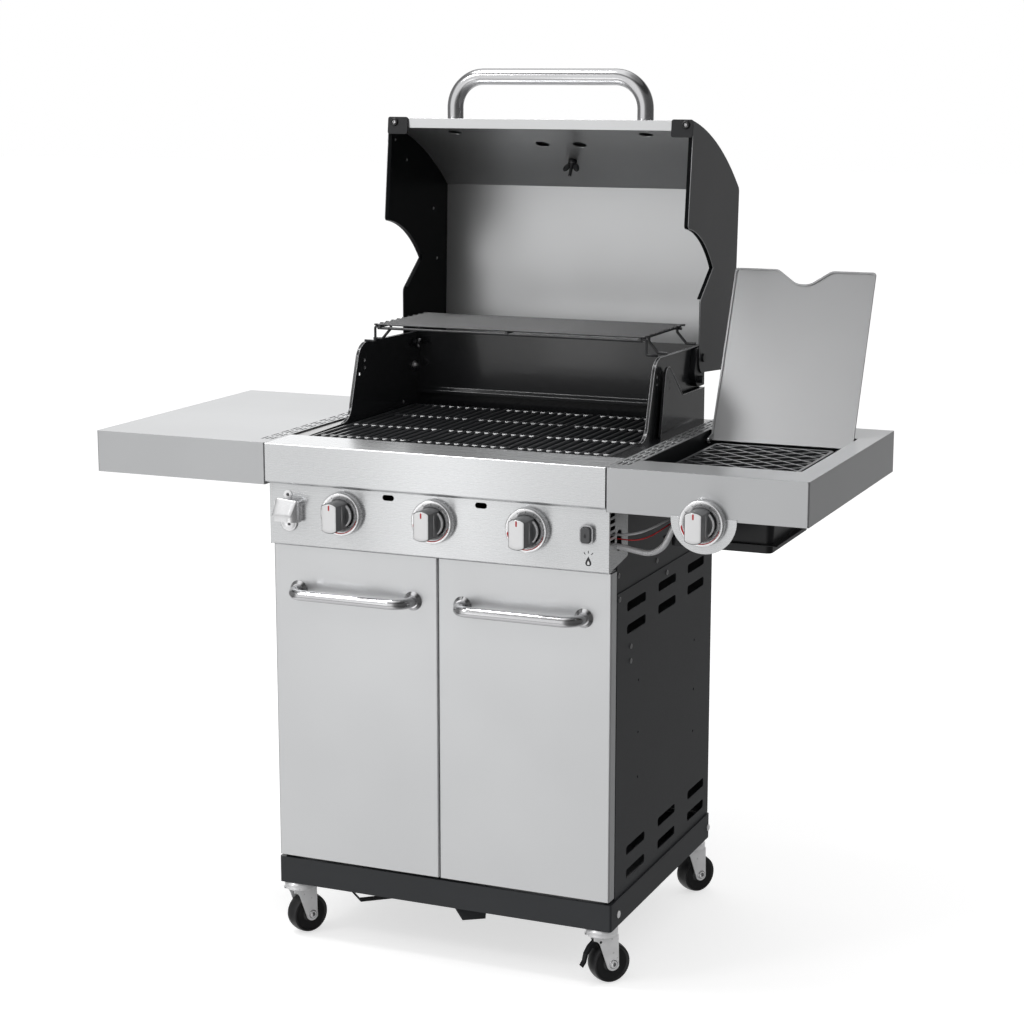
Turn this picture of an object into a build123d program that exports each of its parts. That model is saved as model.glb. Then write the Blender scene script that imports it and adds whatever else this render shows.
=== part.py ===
"""Gas barbecue grill on a four-caster cabinet cart, lid and side-burner lid open.

Millimetres, +Z up, origin on the ground under the middle of the bounding box.
Depths are counted backwards from the front faces of the doors: the planes that
plan(), side() and front() return carry that datum, so a sketch on them reads
(x, depth), (depth, height) or (x, height).
"""
from build123d import *
from math import cos, sin, tan, radians, degrees
import os

os.makedirs("parts", exist_ok=True)

# ---------------------------------------------------------------- driving sizes
sheet = 1.5                     # folded sheet used through the cart
thin = 1.2                      # stainless skins

door_front_y = -321.5           # where the door fronts stand in the part's frame

base_width, base_front, base_back = 650, 3, 545
base_bottom, base_top = 104, 153
cabinet_half = 322              # outside face of the side panels
panel_front, panel_back = 29, 541.5
seam_z = 699.5                  # top edge of the side panels
upper_half = 320.3              # outside face of the upper side sheets

door_width, door_depth = 321.2, 25
door_bottom, door_top = 159, 741
door_handle_z, door_handle_span = 661, 225
door_handle_inset = 47.5        # from the middle of the cart to the inner foot

ledge_z, ledge_back = 928, 70   # flat top in front of the cooking grates
band_front, band_bottom = -30, 853
fascia_front, fascia_bottom = -12, 744
fascia_half = 321.6
band_half = 320.3

knob_xs = (-176, 0, 176)
knob_z = 809
side_knob = (492, 849)          # x and height of the side burner's knob
side_plate_front = -31.4
knob_push = 3                   # travel needed before a valve turns

shelf_inner, shelf_outer = 321.2, 667.5
shelf_front, shelf_back = -30, 535
shelf_bottom, shelf_top = 853, 928
opening_x = (354, 630)          # side burner opening in the right shelf
opening_y = (56, 420)

firebox_half = 290              # inside faces of the cooking chamber
firebox_back = 545
grate_top = 927
grate_front, grate_length = 74, 436
bar_pitch = 17.6

lid_pivot = (519, 1045)         # depth and height of the lid's hinge axis
lid_half = 304.5                # outside face of the lid's end panels
skin_half = 302.3

side_lid_pivot = (392, 912)
side_lid_x = (360, 624)
side_lid_length = 330
side_lid_open = 113.8           # degrees from closed

caster_x = 298
caster_front, caster_rear = 30, 512
wheel_radius, wheel_width = 36.5, 31
caster_trail = 14
# name: (x, depth, direction the wheel trails in, degrees from +X towards +Y)
casters = {
    "front_right": (caster_x, caster_front, 48),
    "front_left": (-caster_x, caster_front, 60),
    "rear_right": (caster_x, caster_rear, 56),
    "rear_left": (-caster_x, caster_rear, 52),
}
braked_casters = ("front_right", "rear_left")


# -------------------------------------------------------------- planes and aids
def plan(height):
    """Horizontal plane: sketch in (x, depth), extrude upwards."""
    return Plane(origin=(0, door_front_y, height))


def side(x):
    """Plane across the width: sketch in (depth, height), extrude towards +X."""
    return Plane(origin=(x, door_front_y, 0), x_dir=(0, 1, 0), z_dir=(1, 0, 0))


def front(depth):
    """Plane facing the user: sketch in (x, height), extrude towards the user."""
    return Plane(origin=(0, door_front_y + depth, 0), x_dir=(1, 0, 0), z_dir=(0, -1, 0))


def turning(x, depth, height):
    """Plane for profiles turned about an axis that points at the user: (radius, out)."""
    return Plane(origin=(x, door_front_y + depth, height), x_dir=(1, 0, 0), z_dir=(0, 0, -1))


def turning_axis(x, depth, height):
    """Axis of the profiles sketched on turning()."""
    return Axis((x, door_front_y + depth, height), (0, -1, 0))


def bent_sheet(points, radius, thickness, hand=Side.LEFT):
    """Face of a sheet seen edge-on: its outside follows the points with rounded bends."""
    with BuildLine() as bent:
        FilletPolyline(*points, radius=radius)
        offset(amount=thickness, side=hand)
    make_face(bent.line.edges())


def outline(*points):
    """Straight-sided face through the points."""
    Polygon(*points, align=None)


def between(low, high):
    """Middle of a span."""
    return (low + high) / 2


def save(builder, name):
    """Label a finished piece and write it."""
    builder.part.label = name
    export_step(builder.part, f"parts/{name}.step")


# ------------------------------------------------------------------------- cart
base_middle = between(base_front, base_back)
base_depth = base_back - base_front
base_rim = 26                   # inward lip round the top of the tray

with BuildPart() as base_frame:
    with BuildSketch(plan(base_bottom)):
        with Locations((0, base_middle)):
            RectangleRounded(base_width, base_depth, 4)
    extrude(amount=base_top - base_bottom)
    with BuildSketch(plan(base_bottom + sheet)):
        with Locations((0, base_middle)):
            RectangleRounded(base_width - 2 * sheet, base_depth - 2 * sheet, 3)
    extrude(amount=base_top - base_bottom - 2 * sheet, mode=Mode.SUBTRACT)
    with BuildSketch(plan(base_top - sheet)):
        with Locations((0, base_middle)):
            RectangleRounded(base_width - 2 * base_rim, base_depth - 2 * base_rim, 8)
    extrude(amount=sheet, mode=Mode.SUBTRACT)
    # skewed strap and block under the floor, for the gas bottle's shelf
    strap = Plane(origin=(-169, door_front_y + 22, 0), x_dir=(0.77, 0.64, 0),
                  z_dir=(0.64, -0.77, 0))
    with BuildSketch(strap):
        outline((-20, base_bottom + 0.5), (0, 80), (96, 80), (112, base_bottom + 0.5),
                (108, base_bottom + 0.5), (93, 82.4), (1.5, 82.4), (-16, base_bottom + 0.5))
    extrude(amount=-16)
    block = Plane(origin=(39, door_front_y + 12, 0), x_dir=(0.82, 0.57, 0),
                  z_dir=(0.57, -0.82, 0))
    with BuildSketch(block):
        outline((-14, base_bottom + 0.5), (0, 80), (42, 80), (44, base_bottom + 0.5))
    extrude(amount=-26)
save(base_frame, "base_frame")

slot_columns = (125, 286, 447)
lower_columns = (132, 298, 466)
hole_rows = (523, 428, 346)
panel_height = seam_z - base_top - 0.3
for hand, name in ((-1, "side_panel_left"), (1, "side_panel_right")):
    with BuildPart() as side_panel:
        with BuildSketch(plan(base_top + 0.3)):
            with Locations((hand * (cabinet_half - 11), between(panel_front, panel_back))):
                Rectangle(22, panel_back - panel_front)
            with Locations((hand * (cabinet_half - 11 - sheet), between(panel_front, panel_back))):
                Rectangle(22, panel_back - panel_front - 2 * sheet, mode=Mode.SUBTRACT)
        extrude(amount=panel_height)
        with BuildSketch(side(hand * cabinet_half)):
            with Locations(*[(y, z) for y in slot_columns for z in (667, 626.5)]):
                RectangleRounded(95, 17, 6)
            with Locations(*[(y, z) for y in lower_columns for z in (225, 182.5)]):
                RectangleRounded(95, 17, 6)
            with Locations(*[(y, z) for y in (139, 444) for z in hole_rows]):
                Circle(2.6)
        extrude(amount=5, both=True, mode=Mode.SUBTRACT)
    save(side_panel, name)

lead_out = (36, 793)            # depth and height of the hose's way out of the frame
arm_depths = (96, 470)          # channels that carry the left shelf
arm_bottom, arm_top = 876, 900

with BuildPart() as upper_frame:
    with BuildSketch(plan(680)):
        for hand in (-1, 1):
            with Locations((hand * (upper_half - 6), between(31, 539.6))):
                Rectangle(12, 508.6)
            with Locations((hand * (upper_half - 6 - sheet), between(31, 539.6))):
                Rectangle(12, 508.6 - 2 * sheet, mode=Mode.SUBTRACT)
    extrude(amount=905 - 680)
    # the rail over the doors joins the two sheets
    rail_half = upper_half - sheet
    with BuildSketch(side(-rail_half)):
        bent_sheet(((62, 741.5), (33, 741.5), (33, 712), (62, 712)), 2, sheet)
    extrude(amount=2 * rail_half)
    # channels reaching out under the left shelf, and short cleats on the right
    for hand, reach in ((-1, 300), (1, 28)):
        for depth in arm_depths:
            with BuildSketch(side(hand * (upper_half - sheet))):
                with Locations((depth, between(arm_bottom, arm_top))):
                    Rectangle(30, arm_top - arm_bottom)
                with Locations((depth, between(arm_bottom, arm_top) - sheet)):
                    Rectangle(30 - 2 * sheet, arm_top - arm_bottom, mode=Mode.SUBTRACT)
            extrude(amount=hand * reach)
    # way out for the hose and the igniter leads
    with BuildSketch(side(300)):
        with Locations(lead_out):
            RectangleRounded(26, 38, 9)
    extrude(amount=30, mode=Mode.SUBTRACT)
save(upper_frame, "upper_frame")

with BuildPart() as back_panel:
    with BuildSketch(front(panel_back + 0.2 + sheet)):
        with Locations((0, between(base_top + 0.3, 742))):
            RectangleRounded(2 * cabinet_half, 742 - base_top - 0.3, 3)
        with Locations((0, 390)):
            RectangleRounded(280, 200, 40, mode=Mode.SUBTRACT)
        with Locations((0, 250), (0, 225)):
            SlotOverall(240, 12, mode=Mode.SUBTRACT)
    extrude(amount=sheet)
save(back_panel, "back_panel")

# ------------------------------------------------------------------ control panel
vent_z, vent_xs = 843, (-88, 88)
igniter = (283, 809)
louvre_count, louvre_pitch = 5, 11.6

with BuildPart() as control_panel:
    with BuildSketch(side(-fascia_half)):
        bent_sheet(((ledge_back, ledge_z - 10), (ledge_back, ledge_z), (band_front, ledge_z),
                    (band_front, 859), (fascia_front, 854), (fascia_front, fascia_bottom),
                    (20, fascia_bottom)), 2.4, thin, Side.LEFT)
    extrude(amount=2 * fascia_half)
    # above the bend the band is narrower and ends beside the shelves
    with BuildSketch(side(-fascia_half), side(band_half)):
        with Locations((25, between(852.4, 935))):
            Rectangle(140, 82.6)
    extrude(amount=fascia_half - band_half, mode=Mode.SUBTRACT)
    # folded ends with a ladder of louvres
    for x in (-fascia_half, fascia_half - thin):
        with BuildSketch(side(x)):
            outline((fascia_front, fascia_bottom), (78, fascia_bottom + 14), (78, 852),
                    (fascia_front, 852))
            with Locations(*[(4.4, 842.4 - louvre_pitch * i) for i in range(louvre_count)]):
                Rectangle(24, 7, mode=Mode.SUBTRACT)
            if x > 0:
                with Locations(lead_out):
                    RectangleRounded(24, 36, 8, mode=Mode.SUBTRACT)
        extrude(amount=thin)
    with BuildSketch(front(fascia_front + 3)):
        with Locations(*[(x, knob_z) for x in knob_xs]):
            Circle(7)
        with Locations(*[(x, vent_z) for x in vent_xs]):
            SlotOverall(22, 10)
        with Locations(igniter):
            RectangleRounded(18, 28, 6)
    extrude(amount=6, mode=Mode.SUBTRACT)
save(control_panel, "control_panel")

bezel_radius, bezel_inner = 36.5, 25
with BuildPart() as knob_bezels:
    for x, depth, z in [(x, fascia_front, knob_z) for x in knob_xs] + [
            (side_knob[0], side_plate_front, side_knob[1])]:
        with BuildSketch(turning(x, depth, z)):
            with BuildLine():
                Polyline((bezel_inner, 0), (bezel_radius, 0), (bezel_radius, 7))
                RadiusArc((bezel_radius, 7), (bezel_radius - 3.5, 9.5), -4)
                Polyline((bezel_radius - 3.5, 9.5), (bezel_inner + 1, 4.5), (bezel_inner, 4.5),
                         (bezel_inner, 0))
            make_face()
        revolve(axis=turning_axis(x, depth, z))
    # collar of the igniter button
    with BuildSketch(front(fascia_front)):
        with Locations(igniter):
            RectangleRounded(24, 34, 9)
            RectangleRounded(18.6, 28.6, 6.3, mode=Mode.SUBTRACT)
    extrude(amount=8)
save(knob_bezels, "knob_bezels")

with BuildPart() as side_knob_plate:
    with BuildSketch(front(shelf_front - 0.2)):
        with Locations((side_knob[0], shelf_bottom)):
            Circle(56.5)
            Circle(7, mode=Mode.SUBTRACT)
            with Locations((0, 34)):
                Rectangle(140, 60, mode=Mode.SUBTRACT)
    extrude(amount=thin)
save(side_knob_plate, "side_knob_plate")

grip_width, grip_reach = 30, 26.5
knob_names = ("knob_left", "knob_centre", "knob_right", "knob_side")
plug_names = ("valve_plug_left", "valve_plug_centre", "valve_plug_right", "valve_plug_side")
knob_places = [(x, fascia_front, knob_z) for x in knob_xs]
knob_places.append((side_knob[0], side_plate_front, side_knob[1]))

for name, (x, depth, z) in zip(knob_names, knob_places):
    with BuildPart() as knob:
        with BuildSketch(turning(x, depth, z)):
            with BuildLine():
                Polyline((0, 3.8), (23, 3.8), (22.4, 18))
                RadiusArc((22.4, 18), (20, 20.6), -3)
                Polyline((20, 20.6), (0, 20.6), (0, 3.8))
            make_face()
        revolve(axis=turning_axis(x, depth, z))
        with BuildSketch(front(depth - 12.5)):
            with Locations((x, z)):
                Rectangle(grip_width, 2 * grip_reach)
                Circle(grip_reach, mode=Mode.INTERSECT)
        extrude(amount=54 - 12.5)
        chamfer(knob.faces().sort_by(Axis.Y)[0].edges(), 1.6)
        # the valve stem pressed into the knob
        with BuildSketch(front(depth + 26)):
            with Locations((x, z)):
                Circle(3)
        extrude(amount=26 + 10)
    save(knob, name)

plug_radius = 6
for name, (x, depth, z) in zip(plug_names, knob_places):
    with BuildPart() as valve_plug:
        with BuildSketch(front(depth + 44)):
            with Locations((x, z)):
                Circle(plug_radius)
        extrude(amount=27)
        with BuildSketch(front(depth + 17)):
            with Locations((x, z)):
                Circle(3.05)
        extrude(amount=-14, mode=Mode.SUBTRACT)
        # cross port through the cone
        with BuildSketch(plan(z - 8)):
            with Locations((x, depth + 37)):
                Circle(1.8)
        extrude(amount=16, mode=Mode.SUBTRACT)
    save(valve_plug, name)

manifold_depth, manifold_radius = 26, 9
manifold_z = knob_z - 24
with BuildPart() as gas_manifold:
    with BuildSketch(side(-300)):
        with Locations((manifold_depth, manifold_z)):
            Circle(manifold_radius)
            Circle(manifold_radius - 2, mode=Mode.SUBTRACT)
    extrude(amount=600)
    # valve bodies in front of the tube, each with its outlet nozzle behind
    for x, depth, z in knob_places:
        with BuildSketch(turning(x, depth, z)):
            with BuildLine():
                Polyline((plug_radius + 0.05, -15), (11, -15), (13, -19), (13, -42), (8, -48),
                         (5, -48), (5, -60), (1, -60), (1, -45), (plug_radius + 0.05, -45),
                         close=True)
            make_face()
        revolve(axis=turning_axis(x, depth, z))
    for x in knob_xs:
        with BuildSketch(plan(manifold_z + manifold_radius - 2)):
            with Locations((x, manifold_depth - 2)):
                Circle(6)
        extrude(amount=9)
save(gas_manifold, "gas_manifold")

with BuildPart() as igniter_button:
    with BuildSketch(front(fascia_front + 16)):
        with Locations(igniter):
            RectangleRounded(17.6, 27.6, 5.8)
    extrude(amount=16 + 13)
    fillet(igniter_button.faces().sort_by(Axis.Y)[0].edges(), 2)
save(igniter_button, "igniter_button")

opener = (-285, 806)
with BuildPart() as bottle_opener:
    # back plate with a screw ear above and a lobe below
    with BuildSketch(front(fascia_front - 0.05)):
        with Locations(opener):
            with Locations((4, 0)):
                RectangleRounded(50, 34, 6)
            with Locations((0, 29)):
                Circle(8)
            with Locations((0, 18)):
                Rectangle(12, 20)
            with Locations((2, -20)):
                Circle(15)
            with Locations((0, 30)):
                Circle(1.6, mode=Mode.SUBTRACT)
    extrude(amount=thin)
    # standing face on a curved cheek, which catches the cap
    with BuildSketch(plan(opener[1] - 17)):
        with BuildLine():
            Polyline((-302, -33), (-276, -36))
            ThreePointArc((-276, -36), (-258, -28), (-258, -13.2))
            Line((-258, -13.2), (-259.6, -13.2))
            ThreePointArc((-259.6, -13.2), (-260.5, -26.5), (-276, -34))
            Polyline((-276, -34), (-302, -31), (-302, -33))
        make_face()
    extrude(amount=36)
save(bottle_opener, "bottle_opener")

# -------------------------------------------------------------------------- doors
pin_depth, pin_inset = 14, 8
pin_x = cabinet_half - pin_inset
for hand, name in ((-1, "door_left"), (1, "door_right")):
    middle_x = hand * (1 + door_width / 2 - 0.2)
    height = door_top - door_bottom
    with BuildPart() as door:
        with BuildSketch(front(door_depth)):
            with Locations((middle_x, between(door_bottom, door_top))):
                Rectangle(door_width, height)
        extrude(amount=door_depth)
        fillet(door.edges().filter_by(Axis.Z).group_by(Axis.Y)[0], 3)
        # hollow from behind, with a lip round the opening
        with BuildSketch(front(door_depth - sheet)):
            with Locations((middle_x, between(door_bottom, door_top))):
                Rectangle(door_width - 2 * sheet, height - 2 * sheet)
        extrude(amount=door_depth - 2 * sheet, mode=Mode.SUBTRACT)
        with BuildSketch(front(door_depth)):
            with Locations((middle_x, between(door_bottom, door_top))):
                Rectangle(door_width - 30, height - 30)
        extrude(amount=sheet, mode=Mode.SUBTRACT)
        with BuildSketch(plan(door_bottom)):
            with Locations((hand * pin_x, pin_depth)):
                Circle(3.05)
        extrude(amount=height, mode=Mode.SUBTRACT)
        with BuildSketch(front(0)):
            with Locations((hand * door_handle_inset, door_handle_z),
                           (hand * (door_handle_inset + door_handle_span), door_handle_z)):
                Circle(3)
        extrude(amount=-sheet, mode=Mode.SUBTRACT)
    save(door, name)

tube_radius = 9.5
standoff = 40
for hand, name in ((-1, "door_handle_left"), (1, "door_handle_right")):
    inner_x = hand * door_handle_inset
    outer_x = hand * (door_handle_inset + door_handle_span)
    with BuildPart() as door_handle:
        with BuildLine(Plane(origin=(0, door_front_y, door_handle_z))):
            FilletPolyline((inner_x, -0.1), (inner_x, -standoff), (outer_x, -standoff),
                           (outer_x, -0.1), radius=27)
        with BuildSketch(front(-0.1)):
            with Locations((inner_x, door_handle_z)):
                Circle(tube_radius)
        sweep()
        # conical foot collars
        for x in (inner_x, outer_x):
            with BuildSketch(turning(x, -0.1, door_handle_z)):
                outline((0, 0), (17, 0), (17, 1.5), (11.5, 6), (0, 6))
            revolve(axis=turning_axis(x, -0.1, door_handle_z))
    save(door_handle, name)

# pivots: four door pins, two side-lid pins and the lid's two shoulder bolts
bolt_radius = 5
with BuildPart() as hinge_pins:
    with BuildSketch(plan(base_top)):
        with Locations((-pin_x, pin_depth), (pin_x, pin_depth)):
            Circle(3)
    extrude(amount=door_bottom - base_top + 5)
    with BuildSketch(plan(door_top - 5)):
        with Locations((-pin_x, pin_depth), (pin_x, pin_depth)):
            Circle(3)
    extrude(amount=fascia_bottom - door_top + 5)
    for x, length in ((side_lid_x[0] - 6, 12), (side_lid_x[1] - 6, 12)):
        with BuildSketch(side(x)):
            with Locations(side_lid_pivot):
                Circle(2.5)
        extrude(amount=length)
    for hand in (-1, 1):
        with BuildSketch(side(hand * 286)):
            with Locations(lid_pivot):
                Circle(bolt_radius)
        extrude(amount=hand * (lid_half + 0.4 - 286))
        with BuildSketch(side(hand * (lid_half + 0.4))):
            with Locations(lid_pivot):
                Circle(8)
        extrude(amount=hand * 4)
        with BuildSketch(side(hand * 282)):
            with Locations(lid_pivot):
                RegularPolygon(8, 6)
        extrude(amount=hand * 7.6)
save(hinge_pins, "hinge_pins")

# ------------------------------------------------------------------------ firebox
rolled_edge = 5.6               # how far the walls' edges turn out
cheek_x = 300.3                 # inside face of the outer cheeks
wall_foot, wall_bend = (214, 929), (250, 960)
wall_shoulder, wall_top = (279, 1046), (318, 1069)

for hand, name in ((-1, "firebox_side_left"), (1, "firebox_side_right")):
    with BuildPart() as firebox_side:
        # inner wall: flares forward at its foot and is rounded at the top
        with BuildSketch(side(hand * firebox_half)):
            with BuildLine():
                Polyline((543, 1066), (543, 776), (ledge_back + 2, 776), (ledge_back + 2, 926),
                         wall_foot)
                ThreePointArc(wall_foot, (238, 938), wall_bend)
                Line(wall_bend, wall_shoulder)
                ThreePointArc(wall_shoulder, (293, 1063), wall_top)
                Line(wall_top, (543, 1066))
            make_face()
            with Locations((304, 1036), (304, 1022), (283, 1012)):
                Circle(3.2, mode=Mode.SUBTRACT)
            with Locations(lid_pivot):
                Circle(bolt_radius + 0.1, mode=Mode.SUBTRACT)
        extrude(amount=hand * thin)
        # its edge is rolled outwards
        with BuildSketch(side(hand * firebox_half)):
            with BuildLine() as rolled:
                ThreePointArc(wall_foot, (238, 938), wall_bend)
                Line(wall_bend, wall_shoulder)
                ThreePointArc(wall_shoulder, (293, 1063), wall_top)
                Line(wall_top, (543, 1066))
                offset(amount=2, side=Side.RIGHT)
            make_face(rolled.line.edges())
        extrude(amount=hand * rolled_edge)
        # flange out to the shelf
        with BuildSketch(plan(924.5)):
            with Locations((hand * between(firebox_half + thin, 317), between(72, 543))):
                Rectangle(317 - firebox_half - thin, 543 - 72)
        extrude(amount=thin)
        # outer cheek that fills the notch of the closed lid
        with BuildSketch(side(hand * cheek_x)):
            with BuildLine():
                Polyline((543, 987), (543, 925.7), (296, 925.7), (320, 1036))
                ThreePointArc((320, 1036), (330, 1048), (343, 1048))
                Polyline((343, 1048), (416, 989), (543, 987))
            make_face()
            with Locations((333, 1030), (343, 1022), (343, 1010)):
                Circle(2, mode=Mode.SUBTRACT)
        extrude(amount=hand * sheet)
        # its edge turned in
        with BuildSketch(side(hand * (cheek_x + sheet))):
            with BuildLine() as cheek_edge:
                Line((296.5, 928), (320, 1036))
                ThreePointArc((320, 1036), (330, 1048), (343, 1048))
                Polyline((343, 1048), (416, 989), (543, 987))
                offset(amount=1.6, side=Side.RIGHT)
            make_face(cheek_edge.line.edges())
        extrude(amount=-hand * 4.5)
        # rear edge folded in to the inner wall
        with BuildSketch(side(hand * (firebox_half + thin))):
            outline((541.5, 925.7), (543, 925.7), (543, 987), (541.5, 987))
        extrude(amount=hand * (cheek_x - firebox_half - thin))
    save(firebox_side, name)

floor_edge, floor_slot = 800, 60
rail_x = 112                    # outside of the grease tray's rails
with BuildPart() as firebox_pan:
    # front wall with its grate ledge, and the rear ledge
    pan_half = firebox_half - 0.4
    with BuildSketch(side(-pan_half)):
        bent_sheet(((ledge_back + 0.8, 786), (ledge_back + 0.8, 914), (ledge_back + 18, 914)),
                   1.6, thin, Side.RIGHT)
        with Locations((521, 913.4)):
            Rectangle(44, thin)
        # rests for the heat plates
        with Locations((ledge_back + 12, 856.8)):
            Rectangle(20, thin)
        with Locations((529, 856.8)):
            Rectangle(28, thin)
    extrude(amount=2 * pan_half)
    # a mouth for each burner
    with BuildSketch(front(ledge_back + 4)):
        with Locations(*[(x, knob_z) for x in knob_xs]):
            Circle(18)
    extrude(amount=8, mode=Mode.SUBTRACT)
    # floor falls from both sides to the slot over the grease tray
    for hand in (-1, 1):
        with BuildSketch(front(ledge_back + 1)):
            outline((hand * pan_half, 790), (hand * floor_slot, 775),
                    (hand * floor_slot, 770), (hand * (floor_slot + 1.5), 770),
                    (hand * (floor_slot + 1.5), 773.6), (hand * pan_half, 788.5))
            # hanging rail for the grease tray
            outline((hand * (rail_x - 1.2), 778), (hand * rail_x, 778), (hand * rail_x, 764.2),
                    (hand * 103.5, 764.2), (hand * 103.5, 765.4), (hand * (rail_x - 1.2), 765.4))
        extrude(amount=-(firebox_back - ledge_back - 3))
save(firebox_pan, "firebox_pan")

with BuildPart() as firebox_rear:
    # rear wall with a ledge half way up, where the upper baffle is screwed on
    with BuildSketch(side(-firebox_half + 0.2)):
        bent_sheet(((543.4, 776), (543.4, 945), (528, 945), (528, 952), (543.4, 956),
                    (543.4, 1066)), 1.6, thin, Side.RIGHT)
    extrude(amount=2 * firebox_half - 0.4)
    # edges turned forwards along the side walls
    for x in (-firebox_half + 0.2, firebox_half - 0.2 - thin):
        with BuildSketch(side(x)):
            with Locations((538, 990)):
                Rectangle(11, 148)
        extrude(amount=thin)
save(firebox_rear, "firebox_rear")

with BuildPart() as burners:
    for x in knob_xs:
        with BuildSketch(turning(x, 0, knob_z)):
            with BuildLine():
                Polyline((14.5, -56), (16, -56), (16, -78), (21, -110), (21, -496), (0, -500),
                         (0, -498.6), (19.6, -495), (19.6, -110), (14.5, -78), (14.5, -56))
            make_face()
        revolve(axis=turning_axis(x, 0, knob_z))
save(burners, "burners")

plate_half = 94
with BuildPart() as heat_plates:
    for x in (-2 * plate_half - 4, 0, 2 * plate_half + 4):
        with BuildSketch(front(526)):
            with BuildLine():
                Line((x - plate_half, 858), (x - plate_half, 868))
                ThreePointArc((x - plate_half, 868), (x, 896), (x + plate_half, 868))
                Polyline((x + plate_half, 868), (x + plate_half, 858),
                         (x + plate_half - 1.4, 858), (x + plate_half - 1.4, 867))
                ThreePointArc((x + plate_half - 1.4, 867), (x, 894.6), (x - plate_half + 1.4, 867))
                Polyline((x - plate_half + 1.4, 867), (x - plate_half + 1.4, 858),
                         (x - plate_half, 858))
            make_face()
        extrude(amount=440)
save(heat_plates, "heat_plates")

bar_count = 11
bar_width, bar_height = 7, 12
grate_width = bar_pitch * (bar_count - 1) + bar_width
grate_step = 193
rib_depths = (104, 236, 372, 504)
with BuildPart() as cooking_grates:
    for x in (-grate_step, 0, grate_step):
        bar_xs = [x + bar_pitch * (i - (bar_count - 1) / 2) for i in range(bar_count)]
        with BuildSketch(front(grate_front + grate_length)):
            for bar_x in bar_xs:
                outline((bar_x - bar_width / 2, grate_top - bar_height),
                        (bar_x + bar_width / 2, grate_top - bar_height),
                        (bar_x + bar_width / 2, grate_top - 2), (bar_x + 1.6, grate_top),
                        (bar_x - 1.6, grate_top), (bar_x - bar_width / 2, grate_top - 2))
        extrude(amount=grate_length)
        # ribs across, with a chamfered front edge
        with BuildSketch(side(x - grate_width / 2)):
            for depth in rib_depths:
                outline((depth - 3, grate_top - bar_height), (depth + 3, grate_top - bar_height),
                        (depth + 3, grate_top - 1), (depth - 0.8, grate_top - 1),
                        (depth - 3, grate_top - 3.2))
        extrude(amount=grate_width)
save(cooking_grates, "cooking_grates")

tray_z = 749
with BuildPart() as grease_tray:
    with BuildSketch(plan(tray_z)):
        with Locations((0, 330)):
            RectangleRounded(200, 420, 8)
    extrude(amount=18, taper=-4)
    with BuildSketch(plan(tray_z + 1.2)):
        with Locations((0, 330)):
            RectangleRounded(197, 417, 7)
    extrude(amount=16.8, taper=-4, mode=Mode.SUBTRACT)
    with BuildSketch(plan(tray_z + 16.8)):
        with Locations((0, 330)):
            Rectangle(218, 438)
            RectangleRounded(198, 418, 7, mode=Mode.SUBTRACT)
    extrude(amount=1.2)
save(grease_tray, "grease_tray")

# --------------------------------------------------------------------- warming rack
rack_z, rack_half = 1104, 264
rack_front, rack_back = 306, 520
wire_radius, frame_radius = 1.6, 2.6
wire_count = 20
foot_depth = 352
foot_z = 1069 + frame_radius + 0.2


with BuildPart() as warming_rack:
    wire_step = (rack_back - rack_front) / (wire_count - 1)
    with BuildSketch(side(-rack_half)):
        with Locations(*[(rack_front + wire_step * i, rack_z) for i in range(wire_count)]):
            Circle(wire_radius)
    extrude(amount=2 * rack_half)
    # frame rods under the wires, front to back
    with BuildSketch(front(rack_back + 4)):
        with Locations((-rack_half + 6, rack_z - 3.4), (0, rack_z - 3.4),
                       (rack_half - 6, rack_z - 3.4)):
            Circle(frame_radius)
    extrude(amount=rack_back - rack_front + 8)
    # front and rear rails
    with BuildSketch(side(-rack_half + 1)):
        with Locations((rack_front + 1, rack_z - 6.6), (rack_back - 1, rack_z - 6.6)):
            Circle(frame_radius)
    extrude(amount=2 * rack_half - 2)
    # bent wire legs: down from the frame and out over the walls' top edge
    for hand in (-1, 1):
        for depth in (foot_depth, rack_back - 12):
            with BuildLine(front(depth)):
                FilletPolyline((hand * (rack_half - 6), rack_z - 3),
                               (hand * (rack_half - 6), rack_z - 12), (hand * 276, foot_z),
                               (hand * 294, foot_z), radius=4)
            with BuildSketch(plan(rack_z - 3)):
                with Locations((hand * (rack_half - 6), depth)):
                    Circle(frame_radius)
            sweep()
save(warming_rack, "warming_rack")

# -------------------------------------------------------------------------- shelves
vent_rows, vent_slits = (328, 337, 346), 14
slit_length, slit_width = 28, 4
shelf_middle = between(shelf_front, shelf_back)
shelf_width = shelf_outer - shelf_inner


opening_middle = (between(*opening_x), between(*opening_y))
opening_size = (opening_x[1] - opening_x[0], opening_y[1] - opening_y[0])
slit_pitch = (shelf_back - 20) / vent_slits

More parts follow.
